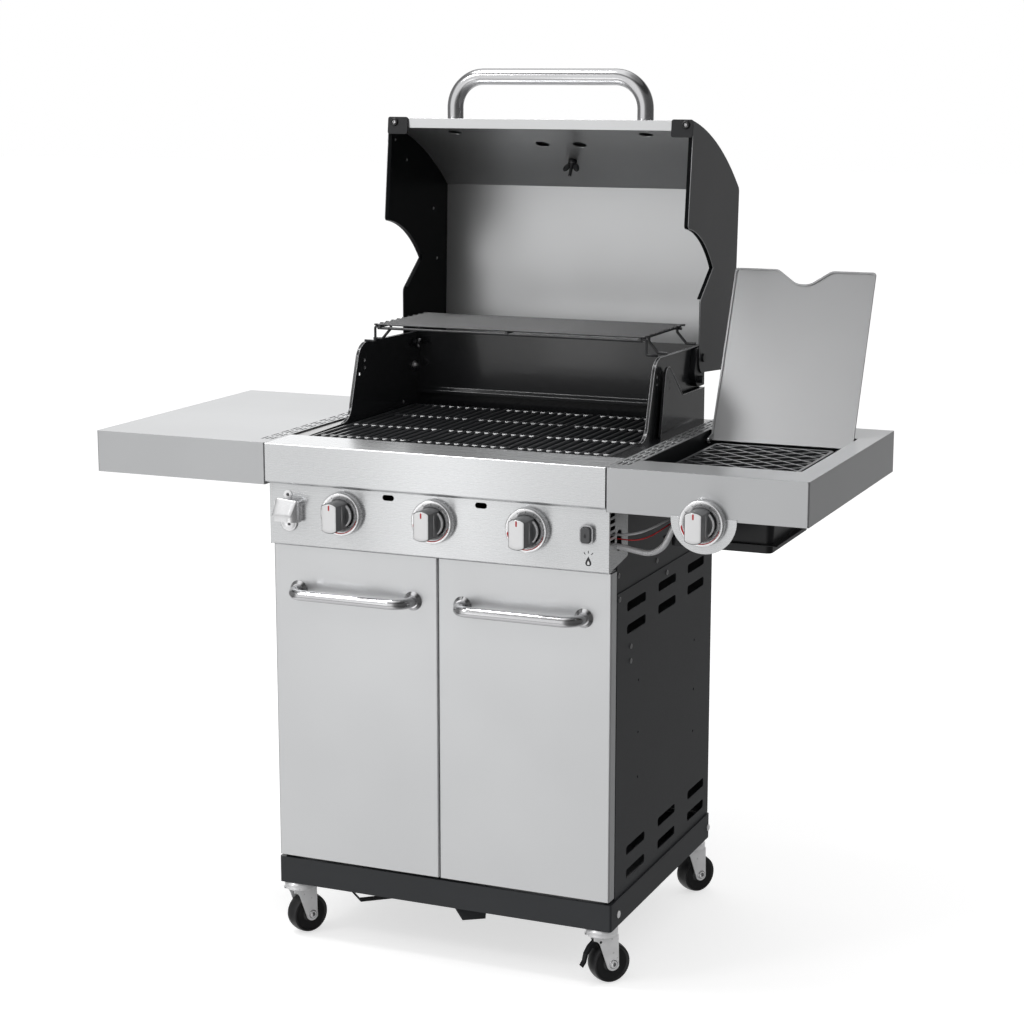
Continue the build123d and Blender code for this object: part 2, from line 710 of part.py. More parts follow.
for hand, name in ((-1, "shelf_left"), (1, "shelf_right")):
    with BuildPart() as shelf:
        # folded pan: flat top, deep skirt all round, open below
        middle_x = hand * between(shelf_inner, shelf_outer)
        with BuildSketch(plan(shelf_bottom)):
            with Locations((middle_x, shelf_middle)):
                RectangleRounded(shelf_width, shelf_back - shelf_front, 3)
        extrude(amount=shelf_top - shelf_bottom)
        with BuildSketch(plan(shelf_bottom)):
            with Locations((middle_x, shelf_middle)):
                Rectangle(shelf_width - 2 * thin, shelf_back - shelf_front - 2 * thin)
        extrude(amount=shelf_top - shelf_bottom - thin, mode=Mode.SUBTRACT)
        # the inner skirt is cut away over the channels
        with BuildSketch(side(hand * (shelf_inner - 2))):
            with Locations(*[(y, between(shelf_bottom, arm_top + 0.6)) for y in arm_depths]):
                Rectangle(31.2, arm_top + 0.6 - shelf_bottom)
        extrude(amount=hand * 6, mode=Mode.SUBTRACT)
        # rows of air slits beside the firebox
        with BuildSketch(plan(shelf_top - 4)):
            with Locations((hand * vent_rows[1], 20 + slit_pitch * (vent_slits - 1) / 2)):
                with GridLocations(vent_rows[1] - vent_rows[0], slit_pitch, 3, vent_slits):
                    Rectangle(slit_width, slit_length)
        extrude(amount=8, mode=Mode.SUBTRACT)
        if hand > 0:
            with BuildSketch(plan(shelf_top - 4)):
                with Locations(opening_middle):
                    Rectangle(*opening_size)
            extrude(amount=8, mode=Mode.SUBTRACT)
            # hole that lets the valve and its socket through the skirt
            with BuildSketch(front(shelf_front + 3)):
                with Locations(side_knob):
                    Circle(15)
                with Locations((side_knob[0], side_knob[1] - 12)):
                    Rectangle(30, 24)
            extrude(amount=6, mode=Mode.SUBTRACT)
    save(shelf, name)

# ---------------------------------------------------------------------- side burner
pan_x, pan_y = (404, 580), (60, 284)
pan_bottom = 786
well_floor = 868
well = (opening_size[0] + 2.4, opening_size[1] + 2.4)
pan_middle = (between(*pan_x), between(*pan_y))
pan_size = (pan_x[1] - pan_x[0], pan_y[1] - pan_y[0])
with BuildPart() as side_burner_box:
    # upper well right under the shelf opening
    with BuildSketch(plan(well_floor)):
        with Locations(opening_middle):
            RectangleRounded(well[0], well[1], 5)
    extrude(amount=shelf_top - thin - 0.2 - well_floor)
    with BuildSketch(plan(well_floor + thin)):
        with Locations(opening_middle):
            RectangleRounded(well[0] - 2 * thin, well[1] - 2 * thin, 4)
    extrude(amount=80, mode=Mode.SUBTRACT)
    # drip pan hanging below, with a rim where it meets the well
    with BuildSketch(plan(pan_bottom)):
        with Locations(pan_middle):
            RectangleRounded(pan_size[0], pan_size[1], 10)
    extrude(amount=well_floor - pan_bottom, taper=-3)
    with BuildSketch(plan(pan_bottom + thin)):
        with Locations(pan_middle):
            RectangleRounded(pan_size[0] - 2 * thin, pan_size[1] - 2 * thin, 9)
    extrude(amount=well_floor - pan_bottom, taper=-3, mode=Mode.SUBTRACT)
    with BuildSketch(plan(pan_bottom + 14)):
        with Locations(pan_middle):
            RectangleRounded(pan_size[0] + 24, pan_size[1] + 16, 6)
            RectangleRounded(pan_size[0] - 4, pan_size[1] - 4, 9, mode=Mode.SUBTRACT)
    extrude(amount=thin)
    # grommet hole for the igniter leads
    with BuildSketch(side(pan_x[0] - 12)):
        with Locations((95, 826)):
            Circle(9)
    extrude(amount=20, mode=Mode.SUBTRACT)
    # tabs the shut lid rests on
    for x in (opening_x[0] + 5, opening_x[1] - 5):
        with BuildSketch(plan(922)):
            with Locations((x, 78)):
                Rectangle(12, 16)
        extrude(amount=1.6)
    # holes for the lid's pins
    for x in (opening_x[0] - 6, opening_x[1] - 6):
        with BuildSketch(side(x)):
            with Locations(side_lid_pivot):
                Circle(2.5)
        extrude(amount=12, mode=Mode.SUBTRACT)
save(side_burner_box, "side_burner_box")

burner_at = (492, 232)
with BuildPart() as side_burner:
    with BuildSketch(Plane(origin=(burner_at[0], door_front_y + burner_at[1], 0),
                           x_dir=(1, 0, 0), z_dir=(0, -1, 0))):
        with BuildLine():
            Polyline((0, 800), (13, 800), (13, 868), (38, 872), (40, 890), (36, 896), (16, 899),
                     (0, 900), (0, 800))
        make_face()
    revolve(axis=Axis((burner_at[0], door_front_y + burner_at[1], 0), (0, 0, 1)))
    # spark electrode on its bracket
    with BuildSketch(plan(856)):
        with Locations(Location((burner_at[0] - 16, burner_at[1] - 20), 51)):
            Rectangle(44, 12)
    extrude(amount=1.5)
    with BuildSketch(plan(852)):
        with Locations((burner_at[0] - 28, burner_at[1] - 35)):
            Circle(3.5)
    extrude(amount=32)
    # ring of flame ports
    with Locations(Plane(origin=(burner_at[0], door_front_y + burner_at[1], 882))):
        with PolarLocations(40, 24):
            Cylinder(1.5, 10, rotation=(0, 90, 0), mode=Mode.SUBTRACT)
save(side_burner, "side_burner")

trivet = (220, 274)
trivet_z = 912
bar_gap, lattice_angle = 34, 38
with BuildPart() as side_grate:
    with BuildSketch(plan(trivet_z - 9)):
        with Locations(burner_at):
            with GridLocations(bar_gap / sin(radians(lattice_angle)) , 0, 13, 1):
                Rectangle(5, 600, rotation=lattice_angle - 90)
            with GridLocations(bar_gap / sin(radians(lattice_angle)), 0, 13, 1):
                Rectangle(5, 600, rotation=90 - lattice_angle)
            RectangleRounded(trivet[0], trivet[1], 12, mode=Mode.INTERSECT)
    extrude(amount=9)
    with BuildSketch(plan(trivet_z - 12)):
        with Locations(burner_at):
            RectangleRounded(trivet[0], trivet[1], 12)
            RectangleRounded(trivet[0] - 12, trivet[1] - 12, 8, mode=Mode.SUBTRACT)
    extrude(amount=12)
    # four feet down to the well's floor
    with BuildSketch(plan(well_floor + thin + 0.2)):
        with Locations(burner_at):
            with GridLocations(trivet[0] - 14, trivet[1] - 14, 2, 2):
                Circle(5)
    extrude(amount=trivet_z - 11 - well_floor - thin)
save(side_grate, "side_grate")

hem = 4
notch_half, notch_depth = 50, 27
lid_middle_x = between(*side_lid_x)
lean = radians(side_lid_open)
# the lid's own plane: x across, y from its rear edge forwards, z up when it is shut
shut_rear = (-4, 12)            # rear lower edge from the pivot, lid shut: depth, height
open_rear = (side_lid_pivot[0] + shut_rear[0] * cos(lean) + shut_rear[1] * sin(lean),
             side_lid_pivot[1] - shut_rear[0] * sin(lean) + shut_rear[1] * cos(lean))
lid_plane = Plane(origin=(lid_middle_x, door_front_y + open_rear[0], open_rear[1]),
                  x_dir=(-1, 0, 0), z_dir=(0, sin(lean), cos(lean)))
lid_half_x = (side_lid_x[1] - side_lid_x[0]) / 2


def side_lid_outline(inset):
    """Side lid seen from above, with the finger notch in its front edge."""
    half, far, near = lid_half_x - inset, side_lid_length - inset, inset
    with BuildLine() as rim:
        FilletPolyline((0, near), (half, near), (half, far), (notch_half + inset / 2, far),
                       (12 + inset / 2, far - notch_depth), (-12 - inset / 2, far - notch_depth),
                       (-notch_half - inset / 2, far), (-half, far), (-half, near), (-1, near),
                       radius=[5, 5, 20, 30, 30, 20, 5, 5])
        Line((-1, near), (0, near))
    make_face(rim.line.edges())


with BuildPart() as side_lid:
    with BuildSketch(lid_plane):
        side_lid_outline(0)
    extrude(amount=hem)
    # hollow underneath, inside a rolled edge
    with BuildSketch(lid_plane):
        side_lid_outline(3)
    extrude(amount=hem - 1.6, mode=Mode.SUBTRACT)
    # lugs on the pins
    for x in (side_lid_x[0], side_lid_x[1] - 3):
        with BuildSketch(side(x)):
            with Locations(side_lid_pivot):
                Circle(6)
            outline((side_lid_pivot[0] - 4, side_lid_pivot[1] + 4),
                    (side_lid_pivot[0] + 4, side_lid_pivot[1] - 4),
                    (open_rear[0] + 8, open_rear[1] + 6), (open_rear[0] + 11, open_rear[1] + 14))
            with Locations(side_lid_pivot):
                Circle(2.55, mode=Mode.SUBTRACT)
        extrude(amount=3)
save(side_lid, "side_lid")

# ---------------------------------------------------------------- hose and wires


def bend_radii(points):
    """Largest tangent arcs: 0.45 of the shorter run over the tangent of half the turn."""
    radii = []
    for a, b, c in zip(points, points[1:], points[2:]):
        into, out = Vector(*b) - Vector(*a), Vector(*c) - Vector(*b)
        turn = radians(into.get_angle(out))
        radii.append(0.45 * min(into.length, out.length) / tan(turn / 2))
    return radii


def cord(points, radius, label):
    """Round cord through hand-set points, as straight runs joined by tangent arcs."""
    radii = bend_radii(points)
    with BuildLine(Plane(origin=(0, door_front_y, 0))) as route:
        FilletPolyline(*points, radius=radii)
    start = Vector(*points[0])
    heading = Vector(*points[1]) - start
    with BuildSketch(Plane(origin=start + Vector(0, door_front_y, 0), z_dir=heading)) as section:
        Circle(radius)
    sweep(section.sketch, path=route.line)
    print(label, "length", round(sum(run.length for run in route.edges())), "radii", [round(r) for r in radii])


hose_points = ((300.3, 26, 785), (324, 30, 784), (349, 40, 776), (374, 48, 771), (396, 50, 784),
               (408, 44, 806), (420, 36, 828), (440, 26, 842), (464, 20, 849), (478.8, 19, 849))
with BuildPart() as gas_hose:
    cord(hose_points, 5.5, "gas hose")
save(gas_hose, "gas_hose")

wire_points = ((304, 38, 801), (328, 41, 801), (352, 48, 805), (374, 63, 814), (392, 84, 825),
               (412, 106, 834), (434, 134, 842), (452, 166, 848), (461, 190, 851))
lead_points = ((304, 42, 795), (326, 42, 793), (350, 44, 793), (372, 55, 800), (388, 74, 812),
               (404, 92, 824), (424, 114, 831), (442, 144, 838), (457, 184, 844))
with BuildPart() as igniter_wires:
    cord(wire_points, 2.2, "sheathed igniter lead")
    cord(lead_points, 1.2, "thin igniter wire")
save(igniter_wires, "igniter_wires")

# ------------------------------------------------------------------------------ lid
lid_top_front, lid_crown, lid_shoulder = (447, 1481), (612, 1424), (722, 1351)
lid_heel = (708, 1003)
skin_end = (584, 1012.5)


def lid_end_outline():
    """Outline of the lid's end panels in the open pose, with the notch for the cheeks."""
    with BuildLine() as rim:
        ThreePointArc(lid_top_front, lid_crown, lid_shoulder)
        ThreePointArc(lid_shoulder, (726.6, 1345), (727, 1338))
        Line((727, 1338), lid_heel)
        Polyline(lid_heel, (530, 1016.6))
        ThreePointArc((530, 1016.6), (508, 1022), (501, 1042))
        Line((501, 1042), (501, 1146))
        ThreePointArc((501, 1146), (502.27, 1151.37), (505.8, 1155.6))
        Line((505.8, 1155.6), (574, 1207))
        ThreePointArc((574, 1207), (510, 1262), (431, 1288.7))
        ThreePointArc((431, 1288.7), (426.8, 1291.2), (425.6, 1295.6))
        Line((425.6, 1295.6), lid_top_front)
    make_face(rim.line.edges())


def skin_path(amount):
    """Closed edge-on face of the lid's skin, from the front strip round to the rear edge."""
    with BuildLine() as edge:
        Line((448, 1463), lid_top_front)
        ThreePointArc(lid_top_front, lid_crown, lid_shoulder)
        ThreePointArc(lid_shoulder, (726.6, 1345), (727, 1338))
        Line((727, 1338), lid_heel)
        Line(lid_heel, skin_end)
        offset(amount=amount, side=Side.RIGHT)
    make_face(edge.line.edges())


with BuildPart() as lid_sides:
    for hand in (-1, 1):
        with BuildSketch(side(hand * (lid_half - 2))):
            lid_end_outline()
            with Locations(lid_pivot):
                Circle(bolt_radius + 0.05, mode=Mode.SUBTRACT)
        extrude(amount=hand * 2)
        # stiffening flange turned in along the front edge and the notch
        with BuildSketch(side(hand * (lid_half - 2))):
            with BuildLine():
                Line((444, 1455), (425.6, 1295.6))
                ThreePointArc((425.6, 1295.6), (426.8, 1291.2), (431, 1288.7))
                ThreePointArc((431, 1288.7), (510, 1262), (574, 1207))
                Line((574, 1207), (505.8, 1155.6))
                offset(amount=1.6, side=Side.LEFT)
            make_face()
        extrude(amount=-hand * 6)
save(lid_sides, "lid_sides")

# black corner brackets on the lid's slanted front edge
edge_run = Vector(0, 22, 191).normalized()
lip_plane = Plane(origin=(0, door_front_y + 447, 1481), x_dir=(1, 0, 0),
                  z_dir=(0, -edge_run.Z, edge_run.Y))
with BuildPart() as lid_corners:
    for hand in (-1, 1):
        with BuildSketch(lip_plane.offset(0.2)):
            with Locations((hand * 284, -14)):
                RectangleRounded(41, 32, 4)
        extrude(amount=2.4)
save(lid_corners, "lid_corners")

handle_half, handle_depth, handle_top = 191.6, 505, 1558
handle_radius = 15.5
with BuildPart() as lid_handle:
    with BuildLine(front(handle_depth)):
        FilletPolyline((-handle_half, 1450), (-handle_half, handle_top),
                       (handle_half, handle_top), (handle_half, 1450), radius=58)
    with BuildSketch(plan(1450)):
        with Locations((-handle_half, handle_depth)):
            Circle(handle_radius)
    sweep()
    # feet cut to sit on the skin
    with BuildSketch(side(-300)):
        with BuildLine():
            ThreePointArc(lid_top_front, lid_crown, lid_shoulder)
            Polyline(lid_shoulder, (722, 1300), (447, 1300), lid_top_front)
        make_face()
    extrude(amount=600, mode=Mode.SUBTRACT)
save(lid_handle, "lid_handle")

# thermometer, square to the skin in the middle of the lid
dial_at = (636, 1410.9)
dial_normal = Vector(0, 0.4986, 0.8668)
dial_plane = Plane(origin=(0, door_front_y + dial_at[0], dial_at[1]), x_dir=(1, 0, 0),
                   z_dir=Vector(0, -dial_normal.Z, dial_normal.Y))
dial_axis = Axis((0, door_front_y + dial_at[0], dial_at[1]), dial_normal)
dial_cut = Plane(origin=(0, door_front_y + dial_at[0], dial_at[1]), x_dir=(1, 0, 0),
                 z_dir=dial_normal)
with BuildPart() as thermometer:
    with BuildSketch(dial_plane):
        outline((0, -48), (2.5, -48), (2.5, -22), (8, -22), (8, -15), (3.9, -15), (3.9, 1.2),
                (36, 1.2), (38, 3), (38, 8), (35, 11), (33, 9), (0, 9))
    revolve(axis=dial_axis)
save(thermometer, "thermometer")
with BuildPart() as lid_skin:
    with BuildSketch(side(-skin_half)):
        skin_path(sheet)
    extrude(amount=2 * skin_half)
    with BuildSketch(dial_cut):
        Circle(4)
    extrude(amount=10, both=True, mode=Mode.SUBTRACT)
save(lid_skin, "lid_skin")

# inner wall of the double-skinned lid, with access holes to the handle's bolts
with BuildPart() as lid_liner:
    with BuildSketch(side(-skin_half + 0.4)):
        with BuildLine() as inner:
            Line((450.6, 1464), (450.6, 1468))
            ThreePointArc((450.6, 1468), (606, 1413.6), (708, 1345))
            Line((708, 1345), (695, 1024))
            Line((695, 1024), (600, 1030))
            offset(amount=1, side=Side.RIGHT)
        make_face(inner.line.edges())
    extrude(amount=2 * skin_half - 0.8)
    with BuildSketch(plan(1400)):
        with Locations((-193, 505), (193, 505), (-38, 566), (38, 566)):
            Circle(13)
    extrude(amount=80, mode=Mode.SUBTRACT)
    with BuildSketch(dial_cut):
        Circle(9)
    extrude(amount=24, both=True, mode=Mode.SUBTRACT)
save(lid_liner, "lid_liner")

# hinge blocks between the firebox walls and the lid, and the bumpers it closes on
bumper_at = (505, 1006)
with BuildPart() as hinge_brackets:
    for hand in (-1, 1):
        with BuildSketch(side(hand * (firebox_half + thin + 0.1))):
            with BuildLine():
                Polyline((498, 1064), (540, 1064), (540, 992), (512, 992))
                ThreePointArc((512, 992), (489, 1003), (482, 1026))
                Line((482, 1026), (498, 1064))
            make_face()
            with Locations(lid_pivot):
                Circle(bolt_radius + 0.1, mode=Mode.SUBTRACT)
        extrude(amount=hand * 10.6)
        # rubber bumper the lid leans on
        with BuildSketch(side(hand * (firebox_half + thin + 10.6))):
            with Locations(bumper_at):
                Circle(7)
        extrude(amount=hand * 9.4)
save(hinge_brackets, "hinge_brackets")

# -------------------------------------------------------------------------- casters
raceway_radius = 29
fork_top, fork_gap = 92, 16.5
axle_half = fork_gap + 2.2
kingpin_radius = 5
brake_pin = (-11, 81)           # along the trail and height
lever_half = 5.5

with BuildPart() as caster_mounts:
    for x, depth, _ in casters.values():
        with BuildSketch(Plane(origin=(x, door_front_y + depth, 0), x_dir=(1, 0, 0),
                               z_dir=(0, -1, 0))):
            outline((0, base_bottom - 0.1), (raceway_radius - 3, base_bottom - 0.1),
                    (raceway_radius, 100), (raceway_radius, 97), (kingpin_radius, 97),
                    (kingpin_radius, fork_top - 3.4), (8, fork_top - 3.4),
                    (8, fork_top - 6.5), (0, fork_top - 6.5))
        revolve(axis=Axis((x, door_front_y + depth, 0), (0, 0, 1)))
save(caster_mounts, "caster_mounts")

for name, (x, depth, trail_angle) in casters.items():
    trail_dir = Vector(cos(radians(trail_angle)), sin(radians(trail_angle)), 0)
    axle_dir = Vector(sin(radians(trail_angle)), -cos(radians(trail_angle)), 0)
    swivel = Vector(x, door_front_y + depth, 0)
    hub = swivel + trail_dir * caster_trail + Vector(0, 0, wheel_radius)
    fork_plane = Plane(origin=swivel, x_dir=trail_dir, z_dir=axle_dir)

    with BuildPart() as fork:
        # pressed top with the ball race, turned about the kingpin
        with BuildSketch(fork_plane):
            outline((kingpin_radius + 0.06, fork_top - 3), (raceway_radius - 2, fork_top - 3),
                    (raceway_radius, fork_top), (raceway_radius - 1, 96.6),
                    (kingpin_radius + 0.06, 96.6))
        revolve(axis=Axis(swivel, (0, 0, 1)))
        # two legs that narrow down to the axle
        for offset_out in (fork_gap, -fork_gap - 2.2):
            with BuildSketch(fork_plane.offset(offset_out)):
                with BuildLine():
                    Polyline((-24, fork_top - 2), (-24, fork_top - 7))
                    ThreePointArc((-24, fork_top - 7), (-16, fork_top - 11), (-11, fork_top - 19))
                    Line((-11, fork_top - 19), (caster_trail - 11, wheel_radius - 5))
                    ThreePointArc((caster_trail - 11, wheel_radius - 5),
                                  (caster_trail, wheel_radius - 12),
                                  (caster_trail + 11, wheel_radius - 5))
                    Polyline((caster_trail + 11, wheel_radius - 5), (24, fork_top - 14),
                             (24, fork_top - 2), (-24, fork_top - 2))
                make_face()
            extrude(amount=2.2)
        if name in braked_casters:
            with BuildSketch(fork_plane.offset(-axle_half - 1)):
                with Locations(brake_pin):
                    Circle(2.55)
            extrude(amount=2 * axle_half + 2, mode=Mode.SUBTRACT)
        # axle bolt with a head and a nut
        with BuildSketch(Plane(origin=hub, x_dir=trail_dir, z_dir=axle_dir).offset(-axle_half)):
            Circle(4)
        extrude(amount=2 * axle_half)
        with BuildSketch(Plane(origin=hub, x_dir=trail_dir, z_dir=axle_dir).offset(axle_half)):
            Circle(6.5)
        extrude(amount=2.6)
        with BuildSketch(Plane(origin=hub, x_dir=trail_dir, z_dir=axle_dir).offset(-axle_half)):
            RegularPolygon(7, 6)
        extrude(amount=-4)
    save(fork, f"caster_fork_{name}")

    with BuildPart() as wheel:
        with BuildSketch(Plane(origin=hub, x_dir=trail_dir, z_dir=trail_dir.cross(axle_dir))):
            half = wheel_width / 2
            with BuildLine():
                Polyline((4.06, -half), (13, -half), (16, -half + 3), (29, -half + 3),
                         (32, -half + 0.5), (34.5, -half + 2))
                ThreePointArc((34.5, -half + 2), (wheel_radius, 0), (34.5, half - 2))
                Polyline((34.5, half - 2), (32, half - 0.5), (29, half - 3), (16, half - 3),
                         (13, half), (4.06, half), (4.06, -half))
            make_face()
        revolve(axis=Axis(hub, axle_dir))
    save(wheel, f"caster_wheel_{name}")

    if name in braked_casters:
        with BuildPart() as brake:
            lever_plane = Plane(origin=swivel, x_dir=trail_dir, z_dir=axle_dir)
            lever_plane = lever_plane.offset(-lever_half)
            with BuildSketch(lever_plane):
                with BuildLine():
                    Polyline((-15, 84), (-10, 84), (-8, 79), (-13, 72), (-15, 65), (-21, 67),
                             (-29, 56), (-33, 42), (-39, 34), (-41, 36), (-36, 44), (-33, 58),
                             (-26, 70), (-17, 78), (-15, 84))
                make_face()
            extrude(amount=2 * lever_half)
            # pivot pin between the legs
            pin_half = axle_half - 0.2
            with BuildSketch(lever_plane.offset(lever_half - pin_half)):
                with Locations(brake_pin):
                    Circle(2.5)
            extrude(amount=2 * pin_half)
        save(brake, f"brake_lever_{name}")
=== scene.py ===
"""Dressed model of a gas barbecue grill on a caster cart, built round its solid parts.

Each sub-assembly is a class: its fields are the sizes it needs, its methods build the
small pieces that the solids leave out (screws, printed marks, plates, cords) and give
every solid its finish. Lengths are millimetres, and are turned into metres where a mesh
or a curve is written.
"""
import logging
import math
from dataclasses import dataclass, field, replace
from enum import Enum

import bmesh
import bpy
import numpy as np
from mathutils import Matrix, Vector


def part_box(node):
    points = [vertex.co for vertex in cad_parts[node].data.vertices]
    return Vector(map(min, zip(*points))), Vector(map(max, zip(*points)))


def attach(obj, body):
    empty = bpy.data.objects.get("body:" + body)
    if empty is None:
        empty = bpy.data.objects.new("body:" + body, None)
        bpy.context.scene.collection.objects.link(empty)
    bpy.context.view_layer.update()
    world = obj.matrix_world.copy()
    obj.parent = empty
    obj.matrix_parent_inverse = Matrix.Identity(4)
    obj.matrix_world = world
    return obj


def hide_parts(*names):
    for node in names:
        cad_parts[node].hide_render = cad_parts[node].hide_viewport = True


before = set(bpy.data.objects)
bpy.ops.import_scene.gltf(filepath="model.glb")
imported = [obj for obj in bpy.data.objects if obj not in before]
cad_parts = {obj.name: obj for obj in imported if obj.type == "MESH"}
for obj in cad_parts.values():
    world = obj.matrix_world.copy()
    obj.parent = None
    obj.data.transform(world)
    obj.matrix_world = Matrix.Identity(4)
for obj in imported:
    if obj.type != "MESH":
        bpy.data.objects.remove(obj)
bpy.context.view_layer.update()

logging.basicConfig(level=logging.INFO, format="%(levelname)s %(message)s")
LOG = logging.getLogger("grill")

Pair = tuple[float, float]
Triple = tuple[float, float, float]
Place = Triple | np.ndarray
Row = tuple[float, ...] | np.ndarray
Shape = tuple[np.ndarray, np.ndarray]  # points, and quads as rows of point numbers

MM = 0.001
HANDS = (-1, 1)                # left and right of the middle plane
FRONT = (0, -1, 0)
LID_PIVOT = (519.0, 1045.0)    # depth and height of the lid's hinge line
NOISE_ENDS = (0.3, 0.7)        # values of a noise between which a look changes


def corners_of(name: str) -> tuple[np.ndarray, np.ndarray]:
    """Lowest and highest corner of a solid's box, in millimetres."""
    low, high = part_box(name)
    return np.array(low) / MM, np.array(high) / MM


def at(x: float, depth: float, z: float) -> np.ndarray:
    """Point from its place across, its depth behind the door fronts and its height.

    Args:
        x: millimetres to the right of the middle.
        depth: millimetres behind the door fronts.
        z: millimetres above the ground.

    Returns:
        The same point in millimetres in the part's frame.
    """
    return np.array([x, corners_of("door_left")[0][1] + depth, z], dtype=float)


def put(name: str, data: bpy.types.ID) -> bpy.types.Object:
    """New object round some data, linked into the scene."""
    made = bpy.data.objects.new(name, data)
    bpy.context.scene.collection.objects.link(made)
    return made


# ------------------------------------------------------------------ shader building
class Tree:
    """Short hand for putting nodes into the tree of a material or a world."""

    def __init__(self, owner: bpy.types.ID) -> None:
        """Empty the owner's node tree."""
        owner.use_nodes = True
        self.owner = owner
        self.tree = owner.node_tree
        self.tree.nodes.clear()

    def join(self, source: bpy.types.Node, out: str | int, target: bpy.types.Node,
             into: str | int) -> None:
        """Link an output socket to an input socket."""
        self.tree.links.new(source.outputs[out], target.inputs[into])

    def node(self, kind: str, **values: object) -> bpy.types.Node:
        """Add a node.

        Args:
            kind: the node's type name.
            **values: attributes of the node; "in_" and a name or number sets that input.

        Returns:
            The new node.
        """
        made = self.tree.nodes.new(kind)
        for key, value in values.items():
            if key.startswith("in_"):
                slot = key[3:].replace("_", " ")
                made.inputs[int(slot) if slot.isdigit() else slot].default_value = value
            else:
                setattr(made, key, value)
        return made


class Nodes(Tree):
    """Nodes of a new material that ends in a Principled shader."""

    def __init__(self, name: str) -> None:
        """Make the material with its shader and output."""
        super().__init__(bpy.data.materials.new(name))
        self.shader = self.node("ShaderNodeBsdfPrincipled")
        self.join(self.shader, "BSDF", self.node("ShaderNodeOutputMaterial"), "Surface")

    def set(self, **values: object) -> None:
        """Set inputs of the shader, with an underscore for each space in a name."""
        for key, value in values.items():
            self.shader.inputs[key.replace("_", " ")].default_value = value

    def position(self, scale: Triple = (1, 1, 1)) -> bpy.types.Node:
        """Object coordinates stretched by scale, as the last node of the pair."""
        stretch = self.node("ShaderNodeMapping", in_Scale=scale)
        self.join(self.node("ShaderNodeTexCoord"), "Object", stretch, "Vector")
        return stretch

    def noise(self, scale: float, detail: float, roughness: float,
              stretch: Triple = (1, 1, 1)) -> bpy.types.Node:
        """Noise on object coordinates.

        Args:
            scale: how many features to a metre.
            detail: octaves.
            roughness: how strong the fine octaves are.
            stretch: extra scale along x, y and z.

        Returns:
            The noise node.
        """
        made = self.node("ShaderNodeTexNoise", in_Scale=scale, in_Detail=detail,
                         in_Roughness=roughness)
        self.join(self.position(stretch), "Vector", made, "Vector")
        return made

    def span(self, source: bpy.types.Node, out: str | int, low: float, high: float,
             ends: Pair) -> bpy.types.Node:
        """Map a value that runs between two ends to a range of numbers."""
        made = self.node("ShaderNodeMapRange", in_From_Min=ends[0], in_From_Max=ends[1],
                         in_To_Min=low, in_To_Max=high)
        self.join(source, out, made, "Value")
        return made

    def gloss(self, source: bpy.types.Node, low: float, high: float, out: str = "Fac",
              ends: Pair = NOISE_ENDS) -> None:
        """Let the roughness run from low to high with a texture."""
        self.join(self.span(source, out, low, high, ends), "Result", self.shader, "Roughness")

    def shade(self, source: bpy.types.Node, colour: Triple, low: float, high: float
              ) -> bpy.types.Node:
        """Give the shader a colour that drifts with a noise.

        Args:
            source: the noise.
            colour: the colour in the middle of the drift.
            low: what it is multiplied by where the noise is low.
            high: what it is multiplied by where the noise is high.

        Returns:
            The node with the colour.
        """
        made = self.node("ShaderNodeValToRGB")
        stops = made.color_ramp.elements
        for stop, place, share in zip(stops, NOISE_ENDS, (low, high)):
            stop.position = place
            stop.color = (*(min(1.0, c * share) for c in colour), 1)
        self.join(source, "Fac", made, "Fac")
        self.join(made, "Color", self.shader, "Base Color")
        return made

    def paint_inside_shade(self, shade: bpy.types.Node, limit: float, specular: float) -> None:
        """Painted shade: dull black with little mirror light nearer the middle plane than a
        limit, and the outside's coat beyond it.

        Args:
            shade: node with the colour of the outside.
            limit: distance from the middle plane x = 0, in metres.
            specular: strength of the outside's mirror light.
        """
        split = self.node("ShaderNodeSeparateXYZ")
        self.join(self.position(), "Vector", split, "Vector")
        off = self.node("ShaderNodeMath", operation="ABSOLUTE")
        self.join(split, "X", off, 0)
        inner = self.node("ShaderNodeMath", operation="LESS_THAN", in_1=limit)
        self.join(off, 0, inner, 0)
        both = self.node("ShaderNodeMix", data_type="RGBA", in_7=(0.004, 0.0045, 0.005, 1))
        self.join(inner, 0, both, 0)
        self.join(shade, "Color", both, 6)
        self.join(both, 2, self.shader, "Base Color")
        self.join(self.span(inner, 0, specular, 0.04, (0, 1)), "Result", self.shader,
                  "Specular IOR Level")

    def relief(self, source: bpy.types.Node, depth: float, strength: float,
               rounding: float = 0.0) -> None:
        """Bump the surface.

        Args:
            source: noise whose value is the height.
            depth: metres between low and high.
            strength: share of the bump.
            rounding: radius in metres over which sharp edges catch the light.
        """
        bump = self.node("ShaderNodeBump", in_Distance=depth, in_Strength=strength)
        self.join(source, "Fac", bump, "Height")
        if rounding:
            edge = self.node("ShaderNodeBevel", samples=3, in_Radius=rounding)
            self.join(edge, "Normal", bump, "Normal")
        self.join(bump, "Normal", self.shader, "Normal")


@dataclass(frozen=True)
class Finish:
    """What every finish knows: its name and how to turn itself into a material."""

    name: str

    def nodes(self) -> Nodes:
        """Nodes of this finish; each kind of finish writes its own."""
        raise NotImplementedError

    def material(self) -> bpy.types.Material:
        """The finish's material, made once and then shared."""
        return bpy.data.materials.get(self.name) or self.nodes().owner

    def on(self, *names: str) -> None:
        """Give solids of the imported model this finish."""
        for name in names:
            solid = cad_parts[name]
            solid.data.materials.clear()
            solid.data.materials.append(self.material())
            LOG.info("%s finished in %s", name, self.name)


class Grain(Enum):
    """Which way a sheet was brushed: stretch of the lines' noise, and their direction."""

    ACROSS = ((3, 900, 900), (1, 0, 0))
    UPRIGHT = ((900, 900, 3), (0, 0, 1))


